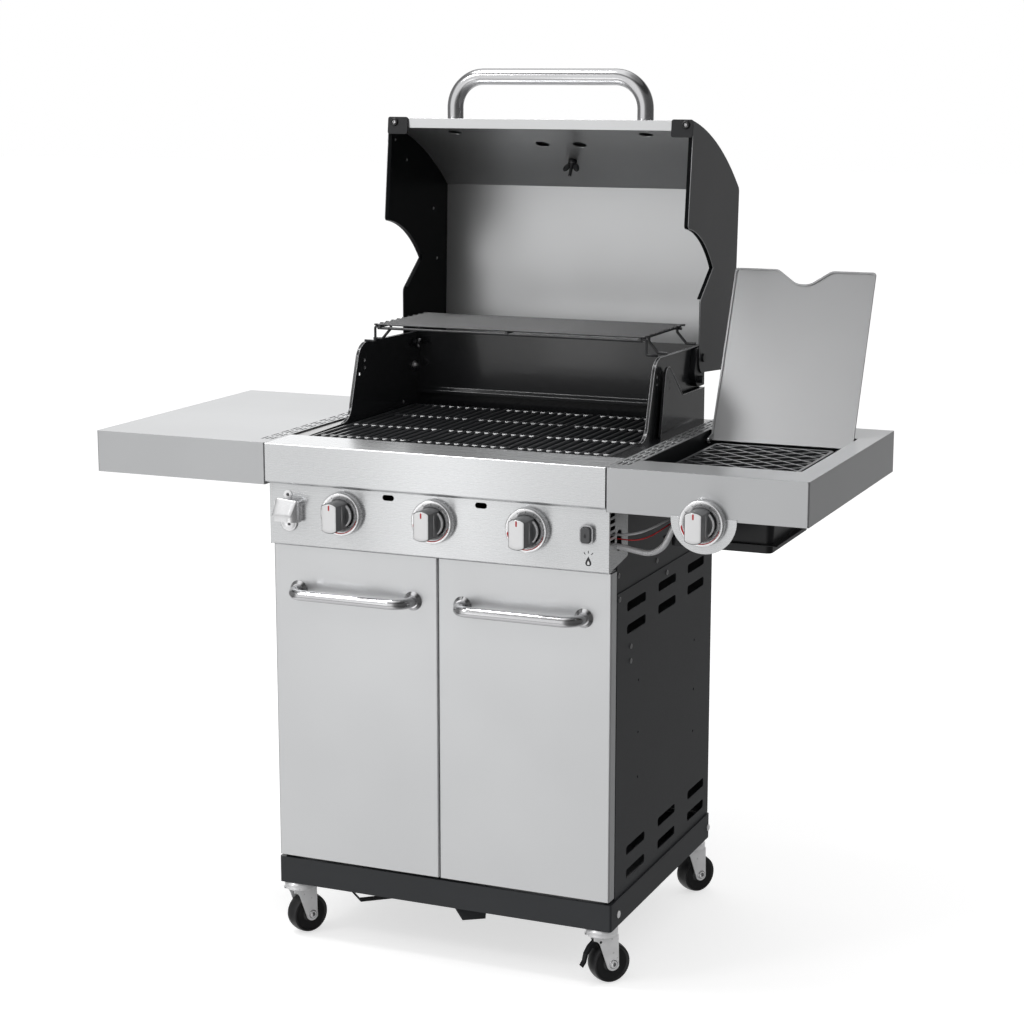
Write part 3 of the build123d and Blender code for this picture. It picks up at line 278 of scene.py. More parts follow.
@dataclass(frozen=True)
class BrushedSteel(Finish):
    """Stainless sheet with fine brush lines along one direction."""

    colour: Triple
    grain: Grain
    rough: float
    metallic: float = 0.82
    edge: float = 0.0006
    line_depth: float = 0.02
    stretch: float = 0.7

    def nodes(self) -> Nodes:
        """Long thin noise for the brush lines, soft clouds for the handling marks.

        The reflection is drawn out square to the lines, whose run is the tangent.
        """
        made = Nodes(self.name)
        fine, run = self.grain.value
        lines = made.noise(1.0, 3, 0.6, fine)
        along = made.node("ShaderNodeCombineXYZ", in_X=run[0], in_Y=run[1], in_Z=run[2])
        made.join(along, 0, made.shader, "Tangent")
        made.shade(made.noise(3.5, 2, 0.5), self.colour, 0.965, 1.025)
        made.gloss(lines, self.rough - 0.008, self.rough + 0.012)
        made.relief(lines, 0.000012, self.line_depth, self.edge)
        made.set(Metallic=self.metallic, Anisotropic=self.stretch, Anisotropic_Rotation=0.25)
        return made


@dataclass(frozen=True)
class PolishedTube(Finish):
    """Stainless tube, polished along its length so that it draws long streaks of light."""

    colour: Triple = (0.62, 0.62, 0.63)
    rough: float = 0.15

    def nodes(self) -> Nodes:
        """Faint drawn lines in the gloss and a slightly uneven polish."""
        made = Nodes(self.name)
        lines = made.noise(1.0, 2, 0.5, (25, 700, 700))
        made.gloss(lines, self.rough - 0.015, self.rough + 0.025)
        made.shade(made.noise(9.0, 2, 0.5), self.colour, 0.94, 1)
        made.set(Metallic=1.0)
        return made


@dataclass(frozen=True)
class PowderCoat(Finish):
    """Satin powder coat on folded steel, with its fine orange-peel skin."""

    colour: Triple
    rough: float
    peel: float = 1200.0
    edge: float = 0.0007
    specular: float = 0.36
    # distance from the middle plane within which the coat is painted dull black as shade; 0
    # paints none
    painted_shade_within: float = 0.0

    def nodes(self) -> Nodes:
        """Fine grain in the gloss, and a slow drift of the shade."""
        made = Nodes(self.name)
        grain = made.noise(self.peel, 3, 0.6)
        shade = made.shade(made.noise(4.0, 2, 0.5), self.colour, 0.9, 1.1)
        # painted shade: faces within that distance of the middle plane go dull black
        if self.painted_shade_within:
            made.paint_inside_shade(shade, self.painted_shade_within, self.specular)
        made.gloss(grain, self.rough - 0.05, self.rough + 0.06)
        made.relief(grain, 0.00006, 0.5, self.edge)
        made.set(Specular_IOR_Level=self.specular)
        return made


@dataclass(frozen=True)
class Enamel(Finish):
    """Vitreous enamel: glassy coat over steel or cast iron, a little wavy."""

    colour: Triple = (0.011, 0.0115, 0.0125)
    rough: float = 0.16
    wave: float = 60.0
    depth: float = 0.00012

    def nodes(self) -> Nodes:
        """Slow waves in the glass and specks where it is duller."""
        made = Nodes(self.name)
        specks = made.noise(700.0, 3, 0.7)
        made.shade(specks, self.colour, 0.8, 1.5)
        made.gloss(specks, self.rough - 0.04, self.rough + 0.1)
        made.relief(made.noise(self.wave, 3, 0.5), self.depth, 0.5)
        made.set(Coat_Weight=0.3, Coat_Roughness=0.08)
        return made


@dataclass(frozen=True)
class Plated(Finish):
    """Bright plating on pressed or turned metal."""

    colour: Triple
    rough: float
    spangle: float
    metallic: float = 1.0
    flecks: float = 0.15

    def nodes(self) -> Nodes:
        """Patches of crystal in the plating change the gloss from place to place."""
        made = Nodes(self.name)
        cells = made.node("ShaderNodeTexVoronoi", in_Scale=self.spangle)
        made.join(made.position(), "Vector", cells, "Vector")
        made.gloss(cells, self.rough - self.flecks / 3, self.rough + self.flecks * 2 / 3,
                   "Distance", (0.0, 0.9))
        clouds = made.noise(40.0, 2, 0.5)
        made.shade(clouds, self.colour, 0.88, 1)
        made.relief(clouds, 0.00004, 2 * self.flecks)
        made.set(Metallic=self.metallic)
        return made


@dataclass(frozen=True)
class Moulded(Finish):
    """Moulded plastic or rubber with a fine spark-eroded grain."""

    colour: Triple
    rough: float
    grain: float = 2200.0

    def nodes(self) -> Nodes:
        """Grain in the gloss, faint flow clouds in the colour."""
        made = Nodes(self.name)
        grain = made.noise(self.grain, 2, 0.6)
        made.shade(made.noise(30.0, 2, 0.5), self.colour, 0.85, 1.15)
        made.gloss(grain, self.rough - 0.06, self.rough + 0.06)
        made.relief(grain, 0.00005, 0.4)
        return made


@dataclass(frozen=True)
class Ink(Finish):
    """Printed or painted mark with slightly uneven cover."""

    colour: Triple
    rough: float

    def nodes(self) -> Nodes:
        """The colour thins out in small patches."""
        made = Nodes(self.name)
        cover = made.noise(900.0, 3, 0.6)
        made.shade(cover, self.colour, 0.9, 1.08)
        made.gloss(cover, self.rough - 0.05, self.rough + 0.05)
        return made


STEEL_PANEL = BrushedSteel("steel_panel", (0.64, 0.647, 0.655), Grain.ACROSS, 0.27)
STEEL_DOOR = BrushedSteel("steel_door", (0.69, 0.697, 0.705), Grain.UPRIGHT, 0.38, stretch=0.4)
STEEL_SHELF = BrushedSteel("steel_shelf", (0.49, 0.496, 0.503), Grain.ACROSS, 0.32)
STEEL_SIDE_LID = BrushedSteel("steel_side_lid", (0.51, 0.513, 0.52), Grain.UPRIGHT, 0.34)
STEEL_LID = BrushedSteel("steel_lid", (0.64, 0.645, 0.65), Grain.ACROSS, 0.3)
STEEL_LINER = BrushedSteel("steel_liner", (0.57, 0.575, 0.58), Grain.ACROSS, 0.36, stretch=0.3)
TUBE = PolishedTube("polished_tube")
GRAPHITE = PowderCoat("graphite_coat", (0.026, 0.028, 0.031), 0.42)
# the inside faces of the lid ends carry painted shade: dull black within 0.3031 m of the middle
# plane
GRAPHITE_LID = PowderCoat("graphite_lid_coat", (0.043, 0.044, 0.046), 0.36, painted_shade_within=0.3031)
BLACK_COAT = PowderCoat("black_coat", (0.010, 0.0105, 0.012), 0.34)
ENAMEL = Enamel("black_enamel")
IRON = Enamel("enamelled_iron", (0.022, 0.023, 0.025), 0.33, 220.0, 0.0002)
WIRE = Enamel("enamelled_wire", (0.02, 0.0205, 0.022), 0.34, 300.0, 0.0001)
CHROME = Plated("chrome_plate", (0.74, 0.74, 0.75), 0.16, 90.0)
ZINC = Plated("zinc_plate", (0.66, 0.66, 0.665), 0.3, 220.0)
DIAL_STEEL = Plated("dial_plate_steel", (0.92, 0.92, 0.93), 0.26, 60.0, 0.85, 0.02)
TRIM = Plated("bright_trim", (0.88, 0.88, 0.89), 0.24, 60.0, 0.5, 0.02)
OPENER_STEEL = Plated("opener_steel", (0.90, 0.90, 0.91), 0.26, 60.0, 0.75, 0.02)
COLLAR_STEEL = Plated("collar_steel", (0.42, 0.42, 0.43), 0.2, 60.0)
SATIN_PLATE = BrushedSteel("satin_plate", (0.82, 0.82, 0.825), Grain.UPRIGHT, 0.36)
KNOB_GREY = Moulded("knob_grey", (0.092, 0.094, 0.097), 0.38)
GUN_PLATE = Plated("dark_plate", (0.16, 0.16, 0.165), 0.3, 200.0)
# bright metal of the pivot eyelets, and of the painted edge highlights: thin wires laid along
# sheet edges to stand for the light they catch
HIGHLIGHT_AND_EYELET_METAL = Plated("highlight_and_eyelet_metal", (0.46, 0.46, 0.47), 0.35, 200.0, 0.5)
BRASS = Plated("turned_brass", (0.62, 0.47, 0.24), 0.3, 300.0)
FORK = Plated("fork_plate", (0.90, 0.90, 0.91), 0.28, 60.0, 0.2, 0.03)
HOSE = Plated("hose_steel", (0.78, 0.78, 0.79), 0.3, 200.0, 0.45, 0.05)
WHEEL = Moulded("wheel_black", (0.014, 0.014, 0.015), 0.42)
BUTTON = Moulded("button_grey", (0.075, 0.077, 0.08), 0.35)
BUTTON_BLACK = Moulded("collar_black", (0.008, 0.008, 0.009), 0.3)
LEAD_SKIN = Moulded("lead_sheath", (0.5, 0.5, 0.51), 0.45)
RED_INK = Ink("red_mark", (0.50, 0.012, 0.016), 0.38)
BLACK_INK = Ink("black_mark", (0.02, 0.02, 0.022), 0.45)
DIAL_INK = Ink("dial_white", (0.78, 0.78, 0.76), 0.5)


# ---------------------------------------------------------------------- mesh making
@dataclass(frozen=True)
class Seat:
    """Local axes on a surface: where a small piece sits and which way it faces."""

    origin: Place
    out: Place
    up: Place = (0, 0, 1)

    def axes(self) -> np.ndarray:
        """Rows are the local right, up and outward directions."""
        out = np.array(self.out, float)
        out /= np.linalg.norm(out)
        up = np.array(self.up, float)
        up -= out * (up @ out)
        up /= np.linalg.norm(up)
        return np.stack([np.cross(up, out), up, out])

    def place(self, local: Place) -> np.ndarray:
        """Local points (right, up, out) as points in the part's frame, in millimetres."""
        return np.array(self.origin, float) + np.array(local) @ self.axes()

    def shifted(self, right: float, up: float, out: float) -> "Seat":
        """The same seat moved along its own axes."""
        return replace(self, origin=self.place((right, up, out)))

    def around(self, angle: float, radius: float, lift: float) -> "Seat":
        """Seat beside this one, whose up direction points away from it.

        Args:
            angle: radians from this seat's right, turning upwards.
            radius: how far away it is.
            lift: how much further out it is.

        Returns:
            The new seat, which faces the same way.
        """
        right, up, _ = self.axes()
        radial = math.cos(angle) * right + math.sin(angle) * up
        return replace(self.shifted(radius * math.cos(angle), radius * math.sin(angle), lift),
                       up=radial)


FLAT = Seat((0, 0, 0), (0, 0, 1), (0, 1, 0))    # leaves a shape where it is


class Shapes:
    """Parametric surfaces, worked out as whole arrays.

    Points of a shape are local: to the right, upwards and outwards of where it sits.
    """

    @staticmethod
    def turn(steps: int) -> np.ndarray:
        """Angles in equal steps once round."""
        return np.linspace(0, 2 * np.pi, steps, endpoint=False)

    @staticmethod
    def grid(points: np.ndarray) -> Shape:
        """Surface through a grid of points, each row of which closes on itself."""
        rows, columns = points.shape[:2]
        i, j = np.meshgrid(np.arange(rows - 1), np.arange(columns), indexing="ij")
        k = (j + 1) % columns
        faces = np.stack([i * columns + j, i * columns + k, (i + 1) * columns + k,
                          (i + 1) * columns + j], axis=-1)
        return points.reshape(-1, 3), faces.reshape(-1, 4)

    @staticmethod
    def merged(shapes: list[Shape]) -> Shape:
        """Several shapes as one."""
        starts = np.cumsum([0] + [len(points) for points, _ in shapes[:-1]])
        return (np.concatenate([points for points, _ in shapes]),
                np.concatenate([faces + n for (_, faces), n in zip(shapes, starts)]))

    @staticmethod
    def solid(name: str, shape: Shape, finish: Finish, smooth: bool = True) -> bpy.types.Object:
        """Write a shape into a mesh, weld its poles and seams and turn its faces outwards.

        Args:
            name: the piece's name.
            shape: points in millimetres in the part's frame, and quads.
            finish: what the piece is finished in.
            smooth: whether faces shade smoothly.

        Returns:
            The new object, at the origin.
        """
        points, faces = shape
        mesh = bpy.data.meshes.new(name)
        mesh.vertices.add(len(points))
        mesh.vertices.foreach_set("co", (points * MM).astype(np.float32).ravel())
        mesh.loops.add(faces.size)
        mesh.loops.foreach_set("vertex_index", faces.ravel().astype(np.int32))
        mesh.polygons.add(len(faces))
        mesh.polygons.foreach_set("loop_start", np.arange(0, faces.size, 4, dtype=np.int32))
        mesh.update(calc_edges=True)
        work = bmesh.new()
        work.from_mesh(mesh)
        bmesh.ops.remove_doubles(work, verts=work.verts, dist=2e-6)
        bmesh.ops.dissolve_degenerate(work, edges=work.edges, dist=1e-6)
        bmesh.ops.recalc_face_normals(work, faces=work.faces)
        work.to_mesh(mesh)
        work.free()
        mesh.polygons.foreach_set("use_smooth", [smooth] * len(mesh.polygons))
        mesh.materials.append(finish.material())
        return put(name, mesh)

    @classmethod
    def turned(cls, profile: list[Pair], turns: int) -> Shape:
        """Surface of revolution about the outward axis.

        Row i, turn j stands at (r_i cos t_j, r_i sin t_j, h_i), where (r_i, h_i) is the
        i-th point of the profile and t_j runs once round.

        Args:
            profile: (radius, height) pairs; it starts and ends on the axis to be closed.
            turns: steps round.

        Returns:
            Local points and faces.
        """
        r, h = np.array(profile, float).T
        t = cls.turn(turns)
        return cls.grid(np.stack([r[:, None] * np.cos(t), r[:, None] * np.sin(t),
                                  h[:, None] + 0 * t], axis=-1))

    @classmethod
    def layers(cls, ring: np.ndarray, scale: Row, lift: Row, middle: Row = (0, 0)) -> Shape:
        """Body of copies of a flat outline, one above the other.

        Args:
            ring: points of the outline, to the right and upwards.
            scale: how large each copy is.
            lift: how far out each copy lies.
            middle: the point towards which the copies are scaled.

        Returns:
            Local points and faces.
        """
        flat = middle + np.array(scale)[:, None, None] * (ring - middle)
        high = np.broadcast_to(np.array(lift, float)[:, None, None], flat.shape[:2] + (1,))
        return cls.grid(np.concatenate([flat, high], axis=-1))

    @classmethod
    def tablet(cls, width: float, height: float, thick: float, power: float, crown: float,
               rim: float, turns: int, within: float = 1e3) -> Shape:
        """Closed plate whose outline is a superellipse, with a rounded rim.

        The outline stands at radius (|cos t / a|^n + |sin t / b|^n)^(-1/n), with a and b
        half the width and height and n the power; rings inside it are scaled copies, and
        their height is the thickness plus crown times one less the scale squared.

        Args:
            width: size to the right.
            height: size upwards.
            thick: how far it stands out.
            power: 2 is an ellipse, 8 nearly a rectangle.
            crown: how much higher the middle is than the rim.
            rim: radius of the rim's rounding.
            turns: steps round.
            within: radius of a circle that cuts the outline's ends round.

        Returns:
            Local points and faces.
        """
        t = cls.turn(turns)
        a, b = width / 2, height / 2
        reach = (np.abs(np.cos(t) / a) ** power + np.abs(np.sin(t) / b) ** power) ** (-1 / power)
        reach = np.minimum(reach, within)
        edge = rim / min(a, b)
        scale = np.array([0, 0.4, 0.75, 1 - edge, 1 - 0.3 * edge, 1, 1, 0])
        lift = np.array([thick] * 4 + [thick - 0.3 * rim, thick - rim, 0, 0])
        lift = lift + crown * (1 - scale ** 2) * (lift > thick / 2)
        return cls.layers(np.stack([reach * np.cos(t), reach * np.sin(t)], axis=-1), scale, lift)

    @staticmethod
    def bend(before: np.ndarray, here: np.ndarray, after: np.ndarray, reach: float
             ) -> np.ndarray:
        """Parabola (1-t)^2 A + 2 t (1-t) B + t^2 C that rounds a corner B.

        Args:
            before: the place that the line comes from.
            here: the corner.
            after: the place that the line goes to.
            reach: distance of A and C from the corner, on the way to either place.

        Returns:
            Points of the parabola, one row each.
        """
        t = np.linspace(0, 1, 7)[:, None]
        a, c = (here + reach * (end - here) / np.linalg.norm(end - here)
                for end in (before, after))
        return (1 - t) ** 2 * a + 2 * t * (1 - t) * here + t ** 2 * c

    @classmethod
    def plate(cls, corners: tuple[Pair, ...], thick: float, reach: float) -> Shape:
        """Closed flat plate with rounded corners.

        Args:
            corners: places to the right and upwards, in order round the plate.
            thick: how far it stands out.
            reach: distance from each corner at which its bend begins.

        Returns:
            Local points and faces.
        """
        spots = np.array(corners, float)
        ring = np.concatenate([cls.bend(*three, reach) for three in zip(
            np.roll(spots, 1, 0), spots, np.roll(spots, -1, 0))])
        return cls.layers(ring, (0, 0.5, 0.97, 1, 1, 0), (thick, thick, thick, thick - 0.4, 0, 0),
                          ring.mean(axis=0))

    @classmethod
    def drop(cls, width: float, height: float, thick: float) -> Shape:
        """Flat teardrop, tip up: x = 0.62 w sin t sin(t/2)^1.6 and y = h/2 cos t."""
        t = cls.turn(40)
        ring = np.stack([-width * 0.62 * np.sin(t) * np.sin(t / 2) ** 1.6,
                         height / 2 * np.cos(t)], axis=-1)
        return cls.layers(ring, (0, 0.5, 1, 1, 0), (thick, thick, thick, 0, 0),
                          (0, -0.12 * height))

    @classmethod
    def screw(cls, radius: float, height: float) -> Shape:
        """Pan head with a cross recess.

        The dome's height is h sqrt(1 - 0.8 (r/R)^2), less a recess where the smaller of
        |x| and |y| is under 0.16 R and r is under 0.6 R.

        Args:
            radius: of the head.
            height: of the dome.

        Returns:
            Local points and faces.
        """
        t = cls.turn(32)
        s = np.array([0, 0.14, 0.24, 0.36, 0.5, 0.62, 0.72, 0.86, 0.96, 1, 1, 0])
        x, y = s[:, None] * np.cos(t), s[:, None] * np.sin(t)
        z = height * np.sqrt(np.clip(1 - 0.8 * s ** 2, 0, 1))[:, None] + 0 * t
        cut = (np.minimum(np.abs(x), np.abs(y)) < 0.16) & (s[:, None] < 0.6)
        z = np.where(cut, z - 0.55 * height, z)
        z[-2:] = 0
        return cls.grid(np.stack([x * radius, y * radius, z], axis=-1))

    @classmethod
    def arc_band(cls, radii: np.ndarray, widths: np.ndarray, angles: np.ndarray,
                 lift: np.ndarray, thick: float) -> Shape:
        """Flat band along an arc, closed where its width falls to nothing.

        Step i has four corners, at the inner and outer radius and at the lower and upper
        face, all turned by the i-th angle.

        Args:
            radii: inner radius at each step.
            widths: width at each step.
            angles: angle at each step, in radians from the right, turning upwards.
            lift: height of the lower face at the inner and outer radius, two columns.
            thick: thickness.

        Returns:
            Local points and faces.
        """
        r = np.stack([radii, radii, radii + widths, radii + widths], axis=1)
        h = np.stack([lift[:, 0], lift[:, 0] + thick, lift[:, 1] + thick, lift[:, 1]], axis=1)
        return cls.grid(np.stack([r * np.cos(angles)[:, None], r * np.sin(angles)[:, None], h],
                                 axis=-1))

    @classmethod
    def tube(cls, centre: np.ndarray, radius: np.ndarray, aside: Triple, turns: int = 12
             ) -> Shape:
        """Closed tube along a line of points.

        The two directions across the line at each point are the cross product of its run
        with the aside direction, and the cross product of that with its run.

        Args:
            centre: points of the line, one row each, in millimetres.
            radius: radius at each point.
            aside: a direction that the line never runs along.
            turns: steps round.

        Returns:
            Points in the part's frame and faces.
        """
        run = np.gradient(centre, axis=0)
        run /= np.linalg.norm(run, axis=1)[:, None]
        side = np.cross(run, np.array(aside, float))
        side /= np.linalg.norm(side, axis=1)[:, None]
        lift = np.cross(side, run)
        centre, side, lift = (np.concatenate([v[:1], v, v[-1:]]) for v in (centre, side, lift))
        radius = np.concatenate([[0], radius, [0]])
        t = cls.turn(turns)
        return cls.grid(centre[:, None] + radius[:, None, None] * (
            np.cos(t)[:, None] * side[:, None] + np.sin(t)[:, None] * lift[:, None]))

    @classmethod
    def wires(cls, lines: list[np.ndarray], radius: float, aside: Triple) -> Shape:
        """Round wire along lines, none of which runs along the aside direction."""
        return cls.merged([cls.tube(line, np.full(len(line), radius), aside) for line in lines])

    @classmethod
    def rounded(cls, corners: list[Triple], reach: float) -> np.ndarray:
        """Line through places (x, depth, z), with a bend that begins at the reach from each."""
        stops = [at(*corner) for corner in corners]
        bends = [cls.bend(*three, reach) for three in zip(stops, stops[1:], stops[2:])]
        return np.concatenate([stops[:1], *bends, stops[-1:]])

    @staticmethod
    def arc(start: Pair, middle: Pair, end: Pair, steps: int = 10) -> list[Pair]:
        """Points of the circular arc through three places.

        The centre is where the perpendicular bisectors of the two chords meet.

        Args:
            start: first place, as depth and height.
            middle: a place on the arc.
            end: last place.
            steps: number of points.

        Returns:
            Depths and heights along the arc.
        """
        a, b, c = (complex(*place) for place in (start, middle, end))
        w = (c - a) / (b - a)
        centre = a + (b - a) * (w - abs(w) ** 2) / (2j * w.imag)
        sweep = np.angle((b - centre) / (a - centre)) + np.angle((c - centre) / (b - centre))
        spots = centre + (a - centre) * np.exp(1j * sweep * np.linspace(0, 1, steps))
        return [(float(spot.real), float(spot.imag)) for spot in spots]

    @classmethod
    def wing_nut(cls, size: float) -> Shape:
        """Hub with two ears that lean outwards.

        The hub is a cone, and each ear the ellipsoid (2 cos u cos v, 5 cos u sin v, 8 sin u).

        Args:
            size: scale of the whole nut; at 1 its foot has a radius of 7 mm.

        Returns:
            Local points and faces.
        """
        parts = [cls.turned([(0, 0), (7, 0), (5.2, 7), (2.4, 8), (2.4, 15), (0, 15)], 20)]
        u, v = np.linspace(-np.pi / 2, np.pi / 2, 9)[:, None], cls.turn(14)
        ear, faces = cls.grid(np.stack([2.0 * np.cos(u) * np.cos(v), 5.0 * np.cos(u) * np.sin(v),
                                        8.0 * np.sin(u) + 0 * v], axis=-1))
        for side in HANDS:
            cos, sin = math.cos(0.55), math.sin(side * 0.55)
            lean = np.array([[1, 0, 0], [0, cos, -sin], [0, sin, cos]])
            parts.append((ear @ lean.T + np.array([0, -side * 7.5, 10.5]), faces))
        points, faces = cls.merged(parts)
        return size * points, faces


def fix(body: str, name: str, shape: Shape, seats: list[Seat], finish: Finish,
        smooth: bool = True) -> None:
    """Put copies of a local shape on seats, as one piece that rides on a body.

    Args:
        body: the body that carries the piece.
        name: the piece's name.
        shape: the local shape.
        seats: where the copies sit.
        finish: what the piece is finished in.
        smooth: whether faces shade smoothly.
    """
    points, faces = shape
    whole = Shapes.merged([(seat.place(points), faces) for seat in seats])
    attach(Shapes.solid(name, whole, finish, smooth), body)


def seats_on_sides(x: float, places: tuple[Pair, ...], facing: int = 1,
                   up: Triple = (0, 0, 1)) -> list[Seat]:
    """Seats at the same depths and heights left and right of the middle plane.

    Args:
        x: distance from the middle plane.
        places: depth and height of each seat.
        facing: 1 to face away from the middle, -1 to face it.
        up: local up direction.

    Returns:
        The seats, first all on the left.
    """
    return [Seat(at(hand * x, depth, z), (hand * facing, 0, 0), up)
            for hand in HANDS for depth, z in places]


def lines_on_sides(x: float, row: list[Pair]) -> list[np.ndarray]:
    """A line of depths and heights, at a distance on either side of the middle plane."""
    return [np.array([at(hand * x, depth, z) for depth, z in row]) for hand in HANDS]


def fade(share: np.ndarray, ends: float) -> np.ndarray:
    """Factor that rises from 0 to 1 over the first part of a run and falls over the last."""
    return np.clip(share / ends, 0, 1) * np.clip((1 - share) / ends, 0, 1)


# -------------------------------------------------------------------- sub-assemblies
class Assembly:
    """Part of the grill: LOOKS pairs a finish with the solids that get it."""

    LOOKS: tuple[tuple[Finish, str], ...] = ()

    def details(self) -> None:
        """Add the small pieces; a sub-assembly without any keeps this."""

    def build(self) -> None:
        """Finish the solids, then add the small pieces."""
        for finish, names in self.LOOKS:
            finish.on(*names.split())
        self.details()
        LOG.info("%s built", type(self).__name__)


@dataclass
class Cart(Assembly):
    """Base tray, side panels, upper frame and back panel with their screws."""

    LOOKS = ((GRAPHITE, "base_frame side_panel_left side_panel_right upper_frame back_panel"),
             (ZINC, "grease_tray"), (FORK, "caster_mounts"), (BLACK_COAT, "hinge_pins"))

    base_x: float = 325.0
    base_head: Pair = (6.6, 3.0)
    base_screws: tuple = ((40, 125), (538, 125))
    side_x: float = 322.0
    side_screws: tuple = ((98, 593.6), (97.5, 567.5), (39.5, 689), (283, 686))
    upper_x: float = 320.3
    upper_screws: tuple = ((38, 731), (233, 717.5))
    back_screws: tuple = ((-300, 180), (0, 172), (300, 180), (-300, 450), (300, 450),
                          (-300, 725), (0, 725), (300, 725))
    head: Pair = (4.6, 2.3)

    def details(self) -> None:
        """Screw heads on both sides and on the back."""
        seats = seats_on_sides(self.base_x, self.base_screws)
        fix("cart", "base_screws", Shapes.screw(*self.base_head), seats, FORK)
        back = corners_of("back_panel")[1][1]
        seats = (seats_on_sides(self.side_x, self.side_screws)
                 + seats_on_sides(self.upper_x, self.upper_screws)
                 + [Seat((x, back, z), (0, 1, 0)) for x, z in self.back_screws])
        fix("cart", "cart_screws", Shapes.screw(*self.head), seats, ZINC)


@dataclass
class Panel(Assembly):
    """Control panel with its marks, bottle opener and igniter."""

    LOOKS = ((STEEL_PANEL, "control_panel side_knob_plate"), (COLLAR_STEEL, "knob_bezels"),
             (OPENER_STEEL, "bottle_opener"), (BUTTON, "igniter_button"),
             (BRASS, "gas_manifold valve_plug_left valve_plug_centre valve_plug_right"
                     " valve_plug_side"))

    face: float = -12.0
    igniter: Pair = (283.0, 809.0)
    mark: Pair = (284.5, 767.0)
    flame: Triple = (12.5, 17.0, 0.12)
    heart: Triple = (5.6, 7.5, 0.2)
    button_flame: Triple = (5.0, 8.5, 0.25)
    ray_radius: float = 10.5
    ray_angles: Triple = (-0.7, 0, 0.7)
    opener: Pair = (-285.0, 806.0)
    opener_front: float = -35.6
    opener_corners: tuple = ((-20.2, -8.4), (17.2, -8.8), (30.6, 22.4), (-10.0, 26.2))
    opener_lobe: tuple = ((0, 1.4), (6, 1.5), (12, 2.2), (14, 3.2), (15.4, 3.2), (16.4, 2.4),
                          (16.6, 0), (0, 0))

    def spot(self, x: float, z: float, lift: float = 0.0) -> Seat:
        """Seat on the panel's face, or a little in front of it."""
        return Seat(at(x, self.face - lift, z), FRONT)

    def igniter_mark(self) -> None:
        """Printed spark: a drop-shaped flame with three rays over it."""
        x, z = self.mark
        fix("cart", "igniter_flame_mark", Shapes.drop(*self.flame), [self.spot(x, z - 4)],
            BLACK_INK, False)
        fix("cart", "igniter_flame_heart", Shapes.drop(*self.heart), [self.spot(x, z - 6.6)],
            SATIN_PLATE, False)
        rays = [self.spot(x, z + 1).around(math.pi / 2 - a, self.ray_radius, 0)
                for a in self.ray_angles]
        fix("cart", "igniter_ray_marks", Shapes.tablet(1.5, 5.6, 0.12, 4, 0, 0.05, 16), rays,
            BLACK_INK, False)
        front = corners_of("igniter_button")[0][1]
        button = Seat((self.igniter[0], front, self.igniter[1]), FRONT)
        fix("igniter_button", "igniter_button_flame", Shapes.drop(*self.button_flame), [button],
            BLACK_INK, False)

    def opener_plates(self) -> None:
        """Two rivets of the bottle opener, the rim of its lobe, and its face plate."""
        x, z = self.opener
        rivet = Shapes.turned([(0, 1.5), (1.6, 1.4), (2.6, 0.8), (3, 0), (0, 0)], 20)
        fix("cart", "opener_rivets", rivet,
            [self.spot(x, z + 29, 1.3), self.spot(x + 2, z - 24, 1.8)], GUN_PLATE)
        fix("cart", "opener_lobe", Shapes.turned(self.opener_lobe, 48),
            [self.spot(x + 2, z - 21, 0.4)], OPENER_STEEL)
        fix("cart", "opener_face_plate", Shapes.plate(self.opener_corners, 1.6, 3.0),
            [Seat(at(x, self.opener_front, z), FRONT)], OPENER_STEEL)

    def details(self) -> None:
        """Print the marks and plate the bottle opener."""
        self.igniter_mark()
        self.opener_plates()


